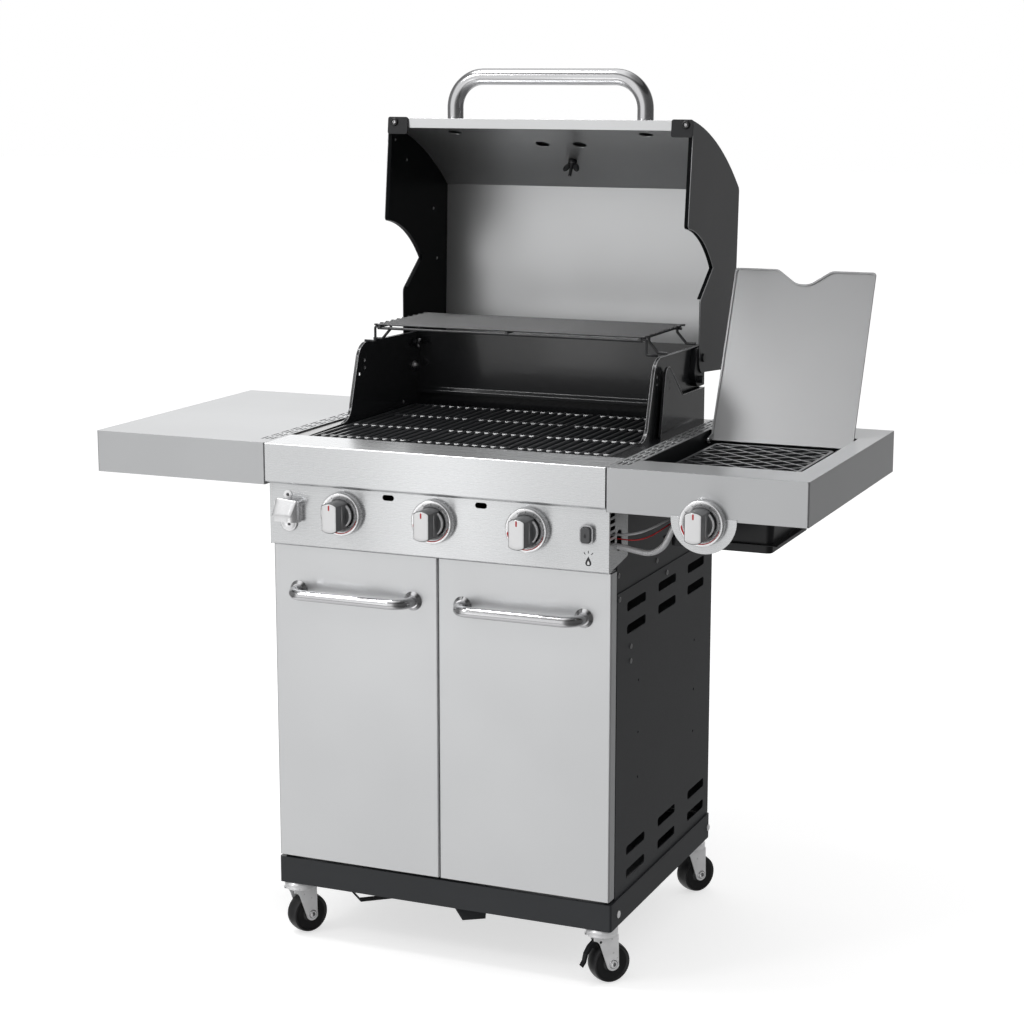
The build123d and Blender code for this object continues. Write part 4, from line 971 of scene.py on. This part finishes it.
@dataclass
class Knobs(Assembly):
    """Control knobs: satin grip face, red index line and the marks of the dial rings."""

    names: tuple[str, ...] = ("left", "centre", "right", "side")
    grip: Pair = (27.6, 60.0)
    grip_reach: float = 25.2
    depth: float = 54.0
    bore: float = 26.8
    ring_inner: float = 27.3
    ring_outer: float = 38.5
    ring_height: float = 13.2
    ring_slope: float = 0.1
    skirt: tuple = ((21.6, 20.8), (23.2, 19.9), (23.9, 18.4), (23.9, 15.2), (22.6, 15.2),
                    (21.6, 20.8))
    index: Pair = (2.9, 9.5)
    arc_radius: float = 32.3
    arc_widths: Pair = (2.2, 0.9)
    arc_span: Pair = (186.0, 160.0)
    tick_radius: float = 32.0
    ticks: tuple[int, ...] = (90, 62, 34, 6, -22, 118, 146)

    def seat(self, name: str) -> Seat:
        """Seat on the front of a knob's grip."""
        low, high = corners_of(f"knob_{name}")
        return Seat(((low[0] + high[0]) / 2, low[1], (low[2] + high[2]) / 2), FRONT)

    def base_seat(self, name: str) -> Seat:
        """Seat on the sheet behind a knob."""
        return self.seat(name).shifted(0, 0, -self.depth)

    def plate_height(self, radius: float) -> float:
        """Height of the dial plate above the panel at a radius."""
        return self.ring_height + self.ring_slope * (radius - self.ring_inner)

    def faces(self, name: str) -> None:
        """Satin plate let into the grip, and the index line at its top."""
        body, seat = f"knob_{name}", self.seat(name)
        plate = Shapes.tablet(*self.grip, 0.5, 14, 0.25, 0.4, 96, self.grip_reach)
        fix(body, f"knob_face_{name}", plate, [seat], SATIN_PLATE)
        fix(body, f"knob_index_{name}", Shapes.tablet(*self.index, 0.3, 8, 0, 0.1, 24),
            [seat.shifted(0, self.grip_reach - 6.2, 0.55)], RED_INK, False)

    def dial_plate(self, name: str) -> None:
        """Bright raised ring of the dial round the knob."""
        outer, top = self.ring_outer, self.plate_height(self.ring_outer - 2.4)
        inner = self.plate_height(self.ring_inner)
        rows = [(outer, 0.2), (outer, top - 2.6), (outer - 0.4, top - 1.2),
                (outer - 1.2, top - 0.2), (outer - 2.4, top), (self.ring_inner, inner),
                (self.bore + 0.1, inner - 0.5), (self.bore, 4.6), (self.bore, 0.2), (outer, 0.2)]
        fix("cart", f"dial_plate_{name}", Shapes.turned(rows, 72), [self.base_seat(name)],
            DIAL_STEEL)

    def trim(self, name: str) -> None:
        """Bright ring round the knob's skirt, and a rib down each side of its grip."""
        body, seat = f"knob_{name}", self.seat(name)
        fix(body, f"knob_trim_{name}", Shapes.turned(self.skirt, 64), [self.base_seat(name)],
            TRIM)
        sides = [Seat(seat.place((hand * 15, 0, -19)), (hand, 0, 0)) for hand in HANDS]
        fix(body, f"knob_ribs_{name}", Shapes.tablet(1.4, 38, 0.8, 6, 0, 0.3, 24), sides, TRIM)

    def ring_marks(self, name: str) -> None:
        """Heat arc, which narrows clockwise from high to low, and the tick marks."""
        seat = self.base_seat(name)
        share = np.linspace(0, 1, 60)
        taper, least = self.arc_widths
        first, sweep = self.arc_span
        width = (taper * (1 - share) + least) * fade(share, 0.03)
        lift = self.plate_height(self.arc_radius) + self.ring_slope * np.stack(
            [0 * width, width], axis=1)
        band = Shapes.arc_band(np.full_like(share, self.arc_radius), width,
                               np.radians(first + share * sweep), lift, 0.2)
        fix("cart", f"heat_arc_{name}", band, [seat], RED_INK, False)
        slope = math.atan(self.ring_slope)
        seats = []
        for degrees in self.ticks:
            spot = seat.around(math.radians(degrees), self.tick_radius,
                               self.plate_height(self.tick_radius))
            seats.append(replace(spot, out=math.cos(slope) * np.array(FRONT)
                                 - math.sin(slope) * spot.up))
        fix("cart", f"dial_ticks_{name}", Shapes.tablet(0.9, 4.2, 0.25, 6, 0, 0.05, 12), seats,
            BLACK_INK, False)

    def details(self) -> None:
        """Give every knob its face, dial, trim and marks."""
        for name in self.names:
            KNOB_GREY.on(f"knob_{name}")
            self.faces(name)
            self.dial_plate(name)
            self.trim(name)
            self.ring_marks(name)


class Doors(Assembly):
    """Two doors with tubular handles."""

    LOOKS = ((STEEL_DOOR, "door_left door_right"),
             (TUBE, "door_handle_left door_handle_right"))


@dataclass
class Firebox(Assembly):
    """Cooking chamber: walls, burners, plates, grates, rack and their fasteners."""

    LOOKS = ((ENAMEL, "firebox_side_left firebox_side_right firebox_pan firebox_rear"
                      " heat_plates"),
             (IRON, "cooking_grates"), (WIRE, "warming_rack"), (BLACK_COAT, "hinge_brackets"),
             (STEEL_LINER, "burners"))

    wall_x: float = 290.0
    rivets: tuple = ((470, 934), (90, 905), (300, 905))
    nut_scale: float = 0.75
    lower_nut: Pair = (519.0, 1001.0)
    cheek_x: float = 302.0
    wall_edge_highlights: Pair = (290.2, 295.3)
    rack_leg: tuple = ((262, 308, 1100), (269, 308, 1100), (269, 308, 1072.5),
                       (291, 308, 1072.5))
    rack_wires: tuple[float, float, int] = (306.0, 520.0, 10)
    rack_wire_xz: tuple = ((263, 266, 269), 1104)

    def fasteners(self) -> None:
        """Wing nuts on the lid's hinge bolts, and cap nuts and rivets along the walls."""
        fix("cart", "hinge_wing_nuts", Shapes.wing_nut(self.nut_scale),
            seats_on_sides(self.wall_x - 1, (LID_PIVOT,), -1, (0, 1, 2)), GUN_PLATE)
        cap = Shapes.turned([(0, 9), (3, 8.4), (5, 6.4), (5.8, 3.6), (6, 2), (8.6, 1.6),
                             (9, 0), (0, 0)], 24)
        fix("cart", "wall_cap_nuts", cap, seats_on_sides(self.wall_x, (self.lower_nut,), -1),
            ZINC)
        rivet = Shapes.turned([(0, 1.8), (2, 1.6), (3.4, 0.9), (4, 0), (0, 0)], 20)
        fix("cart", "wall_rivets", rivet, seats_on_sides(self.wall_x, self.rivets, -1), ZINC)

    def edge_highlights(self) -> None:
        """Painted highlights: thin bright wires along the rolled rim of both walls and round both
        outer cheeks.
        """
        wall = [*Shapes.arc((214, 929), (238, 938), (250, 960)),
                *Shapes.arc((279, 1046), (293, 1063), (318, 1069)), (543, 1066)]
        cheek = [(296.5, 928), *Shapes.arc((320, 1036), (330, 1048), (343, 1048)),
                 (416, 989), (543, 987)]
        lines = lines_on_sides(self.cheek_x, cheek)
        for x in self.wall_edge_highlights:
            lines += lines_on_sides(x, wall)
        fix("cart", "chamber_edge_highlights", Shapes.wires(lines, 0.55, (1, 0, 0)), [FLAT], HIGHLIGHT_AND_EYELET_METAL)

    def rack_wire(self) -> None:
        """Front legs of the warming rack, and the ends of its wires past the frame."""
        legs = [Shapes.rounded([(hand * x, d, z) for x, d, z in self.rack_leg], 4)
                for hand in HANDS]
        fix("cart", "rack_front_legs", Shapes.wires(legs, 2.4, (0, 1, 0)), [FLAT], WIRE)
        across, z = self.rack_wire_xz
        ends = [np.array([at(hand * x, depth, z) for x in across])
                for hand in HANDS for depth in np.linspace(*self.rack_wires)]
        fix("cart", "rack_wire_ends", Shapes.wires(ends, 1.9, (0, 0, 1)), [FLAT], WIRE)

    def details(self) -> None:
        """Fasten the chamber, paint highlights along its edges and complete the rack."""
        self.fasteners()
        self.edge_highlights()
        self.rack_wire()


@dataclass
class Lid(Assembly):
    """Double-walled lid with its handle, corner brackets and thermometer."""

    LOOKS = ((STEEL_LID, "lid_skin"), (STEEL_LINER, "lid_liner"), (GRAPHITE_LID, "lid_sides"),
             (BLACK_COAT, "lid_corners"), (TUBE, "lid_handle"), (CHROME, "thermometer"))

    corner_screw: Pair = (291.0, 1473.5)
    lip_top: Pair = (447.0, 1481.0)
    lip_run: Pair = (22.0, 191.0)
    bracket: float = 2.7
    collar: tuple = ((3.8, 0), (7.6, 0), (7.6, 1.8), (6.6, 3.2), (4.5, 3.2), (3.8, 2.2),
                     (3.8, 0))
    side_x: float = 302.5
    outside: float = 304.5
    edge_x: float = 304.3
    rivets: tuple = ((520, 1400), (640, 1300), (655, 1200), (470, 1440))
    dial_tilt: Pair = (0.4986, 0.8668)
    dial_rim: float = 38.0
    dial_foot: float = 8.0
    dial_face: float = 9.02
    dial_radius: float = 32.0
    marks: tuple[float, float, int] = (215.0, -35.0, 15)
    mark_radius: float = 26.0
    hot_zone: tuple = (19.0, 3.0, 60.0, -90.0)
    needle: Pair = (208.0, 9.0)

    def notch_highlights(self) -> None:
        """Painted highlight: a thin bright wire along the front and the notch of both ends."""
        edge = [(444, 1455), *Shapes.arc((425.6, 1295.6), (426.8, 1291.2), (431, 1288.7)),
                *Shapes.arc((431, 1288.7), (510, 1262), (574, 1207), 24)[1:],
                *Shapes.arc((505.8, 1155.6), (502.27, 1151.37), (501, 1146)), (501, 1046)]
        lines = lines_on_sides(self.edge_x, edge)
        fix("lid", "lid_notch_highlights", Shapes.wires(lines, 0.5, (1, 0, 0)), [FLAT], HIGHLIGHT_AND_EYELET_METAL)

    def screws(self) -> None:
        """Screws in the corner brackets, rivets inside the ends, eyelets on the pivots."""
        x, z = self.corner_screw
        run, rise = self.lip_run
        depth = self.lip_top[0] - (self.lip_top[1] - z) * run / rise
        seats = [Seat(at(hand * x, depth, z), (0, -rise, run)).shifted(0, 0, self.bracket)
                 for hand in HANDS]
        fix("lid", "lid_corner_screws", Shapes.screw(4.0, 2.8), seats, ZINC)
        fix("lid", "lid_corner_collars", Shapes.turned(self.collar, 32), seats, BUTTON_BLACK)
        rivet = Shapes.turned([(0, 1.5), (1.6, 1.3), (2.6, 0.7), (3, 0), (0, 0)], 18)
        fix("lid", "lid_rivets", rivet, seats_on_sides(self.side_x, self.rivets, -1), ZINC)
        eyelet = Shapes.turned([(7.4, 0), (7.2, 1.2), (6.2, 1.7), (5.2, 1.2), (5.0, 0),
                                (7.4, 0)], 36)
        fix("lid", "lid_pivot_eyelets", eyelet, seats_on_sides(self.outside, (LID_PIVOT,)),
            HIGHLIGHT_AND_EYELET_METAL)

    def dial_seat(self) -> Seat:
        """Seat at the foot of the thermometer's dial, found from its box and its tilt."""
        high = corners_of("thermometer")[1]
        back, up = self.dial_tilt
        return Seat((0, high[1] - self.dial_rim * up - self.dial_foot * back,
                     high[2] - self.dial_rim * back - self.dial_foot * up),
                    (0, back, up), (0, -up, back))

    def dial(self, face: Seat) -> None:
        """White face with ticks, the hot zone and a red needle."""
        r = self.dial_radius
        fix("lid", "dial_face", Shapes.turned([(0, 0.3), (r, 0.3), (r, 0), (0, 0)], 64), [face],
            DIAL_INK, False)
        ticks = [face.around(math.radians(a), self.mark_radius, 0.32)
                 for a in np.linspace(*self.marks)]
        fix("lid", "dial_marks", Shapes.tablet(0.9, 4.5, 0.1, 6, 0, 0.03, 12), ticks, BLACK_INK,
            False)
        share = np.linspace(0, 1, 40)
        radius, width, first, sweep = self.hot_zone
        band = Shapes.arc_band(np.full_like(share, radius), width * fade(share, 0.05),
                               np.radians(first + sweep * share),
                               np.full((len(share), 2), 0.3), 0.1)
        fix("lid", "dial_hot_zone", band, [face], RED_INK, False)
        fix("lid", "dial_needle", Shapes.tablet(1.6, 22, 0.4, 3, 0, 0.1, 24),
            [face.around(math.radians(self.needle[0]), self.needle[1], 0.5)], RED_INK, False)

    def thermometer(self) -> None:
        """The dial outside, and a wing nut and a sleeve on its stem inside."""
        seat = self.dial_seat()
        self.dial(seat.shifted(0, 0, self.dial_face))
        inward = tuple(-v for v in seat.out)
        nut, stem = (Seat(seat.place((0, 0, -deep)), inward, (1, 0, 0)) for deep in (16.5, 14.9))
        fix("lid", "dial_wing_nut", Shapes.wing_nut(1.25), [nut], BLACK_COAT)
        sleeve = Shapes.turned([(0, 0), (8.4, 0), (8.4, 7.4), (3.1, 7.8), (3.1, 33.4),
                                (0, 33.4)], 28)
        fix("lid", "dial_stem_sleeve", sleeve, [stem], BLACK_COAT)

    def details(self) -> None:
        """Add the painted edge highlights, the screws and the dial."""
        self.notch_highlights()
        self.screws()
        self.thermometer()


class SideBurner(Assembly):
    """Side shelf with its burner, trivet and lid."""

    LOOKS = ((STEEL_SHELF, "shelf_left shelf_right"), (STEEL_SIDE_LID, "side_lid"),
             (BLACK_COAT, "side_burner_box"), (IRON, "side_grate"), (BRASS, "side_burner"))


@dataclass
class GasLine(Assembly):
    """Corrugated gas hose and the two igniter leads beside it."""

    hose_diameter: float = 11.0
    ring_depth: float = 0.45
    ring_pitch: float = 3.0
    hose_points: tuple = ((300.3, 26, 785), (324, 30, 784), (349, 40, 776), (374, 48, 771),
                          (396, 50, 784), (408, 44, 806), (420, 36, 828), (440, 26, 842),
                          (464, 20, 849), (478.8, 19, 849))
    sheath_points: tuple = ((304, 38, 801), (328, 41, 801), (352, 48, 805), (374, 63, 814),
                            (392, 84, 825), (412, 106, 834), (434, 134, 842), (452, 166, 848),
                            (461, 190, 851))
    lead_points: tuple = ((304, 42, 795), (326, 42, 793), (350, 44, 793), (372, 55, 800),
                          (388, 74, 812), (404, 92, 824), (424, 114, 831), (442, 144, 838),
                          (457, 184, 844))

    def route(self, name: str, points: tuple[Triple, ...], bevel: float = 0.0
              ) -> bpy.types.Object:
        """Smooth line through a route's control points.

        Args:
            name: the curve's name.
            points: (x, depth, z) of each point, in millimetres.
            bevel: radius in millimetres, or 0 for a bare line.

        Returns:
            A curve object of one open NURBS spline of order 3.
        """
        curve = bpy.data.curves.new(name, "CURVE")
        curve.dimensions = "3D"
        curve.resolution_u = 16
        curve.bevel_depth = bevel * MM
        curve.bevel_resolution = 4
        curve.use_fill_caps = True
        spline = curve.splines.new("NURBS")
        spline.points.add(len(points) - 1)
        for point, place in zip(spline.points, points):
            point.co = (*(at(*place) * MM), 1)
        spline.order_u = 3
        spline.use_endpoint_u = True
        return put(name, curve)

    def line_of(self, points: tuple[Triple, ...]) -> np.ndarray:
        """Points of the smooth line of a route, in millimetres."""
        bare = self.route("bare_line", points)
        mesh = bpy.data.meshes.new_from_object(bare)
        flat = np.empty(len(mesh.vertices) * 3)
        mesh.vertices.foreach_get("co", flat)
        bpy.data.meshes.remove(mesh)
        bpy.data.objects.remove(bare)
        return flat.reshape(-1, 3) / MM

    def length_of(self, line: np.ndarray) -> float:
        """Length of a line of points, in metres."""
        return float(np.linalg.norm(np.diff(line, axis=0), axis=1).sum()) * MM

    def hose(self) -> None:
        """Corrugated tube of radius R - d + d cos(2 pi s / pitch) at arc length s."""
        line = self.line_of(self.hose_points)
        steps = np.concatenate([[0], np.cumsum(np.linalg.norm(np.diff(line, axis=0), axis=1))])
        s = np.linspace(0, steps[-1], int(steps[-1] / self.ring_pitch * 8))
        centre = np.stack([np.interp(s, steps, line[:, k]) for k in range(3)], axis=1)
        radius = self.hose_diameter / 2 + self.ring_depth * (
            np.cos(2 * np.pi * s / self.ring_pitch) - 1)
        piece = Shapes.solid("corrugated_hose", Shapes.tube(centre, radius, (0, 1, 0), 20), HOSE)
        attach(piece, "cart")
        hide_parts("gas_hose")

    def leads(self) -> None:
        """Sheathed lead and thin red wire."""
        for name, points, radius, finish in (
                ("igniter_sheath", self.sheath_points, 2.2, LEAD_SKIN),
                ("igniter_wire", self.lead_points, 1.2, RED_INK)):
            line = self.line_of(points)
            piece = self.route(name, points, radius)
            piece.data.materials.append(finish.material())
            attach(piece, "cart")
        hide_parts("igniter_wires")

    def details(self) -> None:
        """Lay the hose and the leads."""
        self.hose()
        self.leads()


@dataclass
class Casters(Assembly):
    """Plated forks and black wheels; a caster trails at an angle in degrees."""

    LOOKS = ((BLACK_COAT, "brake_lever_front_right brake_lever_rear_left"),)

    trails: dict[str, float] = field(default_factory=lambda: {
        "front_right": 48.0, "front_left": 60.0, "rear_right": 56.0, "rear_left": 52.0})
    leg_face: float = 19.0
    cap: tuple = ((0, 4.6), (2.4, 4.2), (4, 3), (4.6, 1.4), (5.4, 1.0), (6.6, 1.8), (7.6, 1.4),
                  (8.2, 0), (0, 0))

    def axle_cap(self, name: str, trail: float) -> None:
        """Dished washer and domed head over the axle on the outside of the fork."""
        hub = sum(corners_of(f"caster_wheel_{name}")) / 2
        out = np.array([math.sin(trail), -math.cos(trail), 0])
        fix(f"fork_{name}", f"axle_cap_{name}", Shapes.turned(self.cap, 32),
            [Seat(hub + self.leg_face * out, out)], CHROME)

    def details(self) -> None:
        """Finish every fork and wheel and cap its axle."""
        for name, degrees in self.trails.items():
            FORK.on(f"caster_fork_{name}")
            WHEEL.on(f"caster_wheel_{name}")
            self.axle_cap(name, math.radians(degrees))


# --------------------------------------------------------------------------- studio
@dataclass
class Studio:
    """Pale floor, soft lamps, a white surround with dark flags, and the camera."""

    azimuth: float = 23.078
    elevation: float = 11.185
    place: Triple = (1613.0, -3456.5, 1576.7)
    lens: float = 79.21
    ambient: float = 0.72
    side_levels: tuple = ((0.0, 0.25), (0.05, 0.2), (0.1, 0.6), (0.15, 1.0), (0.46, 1.0),
                          (0.53, 0.7), (0.62, 0.3), (0.69, 0.2), (0.8, 0.12), (1.0, 0.1))
    height_levels: tuple = ((0.0, 0.6), (0.06, 0.85), (0.2, 0.98), (0.225, 0.5), (0.245, 0.35),
                            (0.265, 0.5), (0.29, 0.98), (0.55, 1.0), (0.72, 1.05), (0.76, 0.4),
                            (0.86, 0.3), (0.9, 1.1), (1.0, 1.2))
    floor_size: float = 30.0
    floor_glow: float = 0.62
    target: Triple = (0, 0, 0.8)
    lamps: tuple = (("key", (-2.4, -3.0, 3.4), 1.0, 1.0, 28.0),
                    ("top", (-1.4, -0.7, 4.2), 0.9, 0.9, 46.0),
                    ("rim", (-2.2, 3.6, 2.0), 2.4, 2.4, 8.0),
                    ("strip", (-1.06, -2.65, 0.33), 0.25, 1.2, 0.9))

    def aim(self, made: bpy.types.Object, place: Vector, look: Vector) -> None:
        """Stand a camera or lamp at a place and turn it to look along a direction."""
        made.location = place
        made.rotation_mode = "QUATERNION"
        made.rotation_quaternion = look.to_track_quat("-Z", "Y")

    def camera(self) -> None:
        """Camera at the distance, height and direction found from the photograph."""
        data = bpy.data.cameras.new("camera")
        data.lens, data.sensor_width = self.lens, 36.0
        data.clip_start, data.clip_end = 0.05, 100.0
        a, e = math.radians(self.azimuth), math.radians(self.elevation)
        look = Vector((-math.sin(a) * math.cos(e), math.cos(a) * math.cos(e), -math.sin(e)))
        made = put("camera", data)
        self.aim(made, Vector(at(*self.place) * MM), look)
        bpy.context.scene.camera = made

    def lights(self) -> None:
        """Soft lamps, all turned to the middle of the grill."""
        for name, place, width, height, power in self.lamps:
            data = bpy.data.lights.new(name, "AREA")
            data.shape, data.energy = "RECTANGLE", power
            data.size, data.size_y = width, height
            self.aim(put(name, data), Vector(place), Vector(self.target) - Vector(place))

    def seen(self, nodes: Tree) -> bpy.types.Node:
        """Node that is 1 for camera, mirror and transmission rays and 0 for lighting.

        Args:
            nodes: the node tree it is put in.

        Returns:
            A clamped sum of the three kinds of ray.
        """
        path = nodes.node("ShaderNodeLightPath")
        total = None
        for kind in ("Is Camera Ray", "Is Transmission Ray", "Is Glossy Ray"):
            step = nodes.node("ShaderNodeMath", operation="ADD", use_clamp=True, in_0=0.0)
            if total is not None:
                nodes.join(total, 0, step, 0)
            nodes.join(path, kind, step, 1)
            total = step
        return total

    def flags(self, nodes: Tree) -> bpy.types.Node:
        """Light and dark bands of the surround that metal mirrors.

        Args:
            nodes: the node tree they are put in.

        Returns:
            The product of side_levels by the ray's direction across and height_levels by
            its direction upwards.
        """
        split = nodes.node("ShaderNodeSeparateXYZ")
        nodes.join(nodes.node("ShaderNodeTexCoord"), "Generated", split, 0)
        both = nodes.node("ShaderNodeMath", operation="MULTIPLY")
        for slot, (axis, levels) in enumerate((("X", self.side_levels),
                                               ("Z", self.height_levels))):
            half = nodes.node("ShaderNodeMapRange", in_From_Min=-1.0)
            nodes.join(split, axis, half, "Value")
            bands = nodes.node("ShaderNodeValToRGB")
            ramp = bands.color_ramp
            ramp.interpolation = "EASE"
            for place, _ in levels[1:-1]:
                ramp.elements.new(place)
            for element, (place, level) in zip(ramp.elements, levels):
                element.position = place
                element.color = (level, level, level, 1)
            nodes.join(half, "Result", bands, "Fac")
            nodes.join(bands, "Color", both, slot)
        return both

    def world(self) -> None:
        """White to the eye; metal sees a flagged studio.

        The narrow dark levels are drawn as lines on polished tubes, and brushed sheets
        blur them away.
        """
        world = bpy.data.worlds.new("studio")
        nodes = Tree(world)
        metal = nodes.node("ShaderNodeMix", data_type="FLOAT", in_2=1.0)
        nodes.join(nodes.node("ShaderNodeLightPath"), "Is Glossy Ray", metal, 0)
        nodes.join(self.flags(nodes), 0, metal, 3)
        level = nodes.node("ShaderNodeMix", data_type="FLOAT", in_2=self.ambient)
        nodes.join(self.seen(nodes), 0, level, 0)
        nodes.join(metal, 0, level, 3)
        background = nodes.node("ShaderNodeBackground", in_Color=(1, 1, 1, 1))
        nodes.join(level, 0, background, "Strength")
        nodes.join(background, 0, nodes.node("ShaderNodeOutputWorld"), "Surface")
        bpy.context.scene.world = world

    def floor(self) -> None:
        """Wide pale floor that stays white and still takes the shadow."""
        size = self.floor_size
        mesh = bpy.data.meshes.new("floor")
        mesh.from_pydata([(-size, -size, 0), (size, -size, 0), (size, size, 0),
                          (-size, size, 0)], [], [(0, 1, 2, 3)])
        nodes = Nodes("pale_floor")
        nodes.set(Base_Color=(0.6, 0.6, 0.6, 1), Roughness=0.9, Specular_IOR_Level=0.1,
                  Emission_Color=(1, 1, 1, 1))
        glow = nodes.node("ShaderNodeMath", operation="MULTIPLY", in_1=self.floor_glow)
        nodes.join(self.seen(nodes), 0, glow, 0)
        nodes.join(glow, 0, nodes.shader, "Emission Strength")
        mesh.materials.append(nodes.owner)
        made = put("floor", mesh)
        made.visible_glossy = False

    def build(self) -> None:
        """Set up everything that isn't the grill."""
        bpy.context.scene.view_settings.view_transform = "Standard"
        self.camera()
        self.lights()
        self.world()
        self.floor()


def main() -> None:
    """Build the sub-assemblies, then the studio."""
    for part in (Cart(), Panel(), Knobs(), Doors(), Firebox(), Lid(), SideBurner(), GasLine(),
                 Casters()):
        part.build()
    Studio().build()


if __name__ == "__main__":
    main()
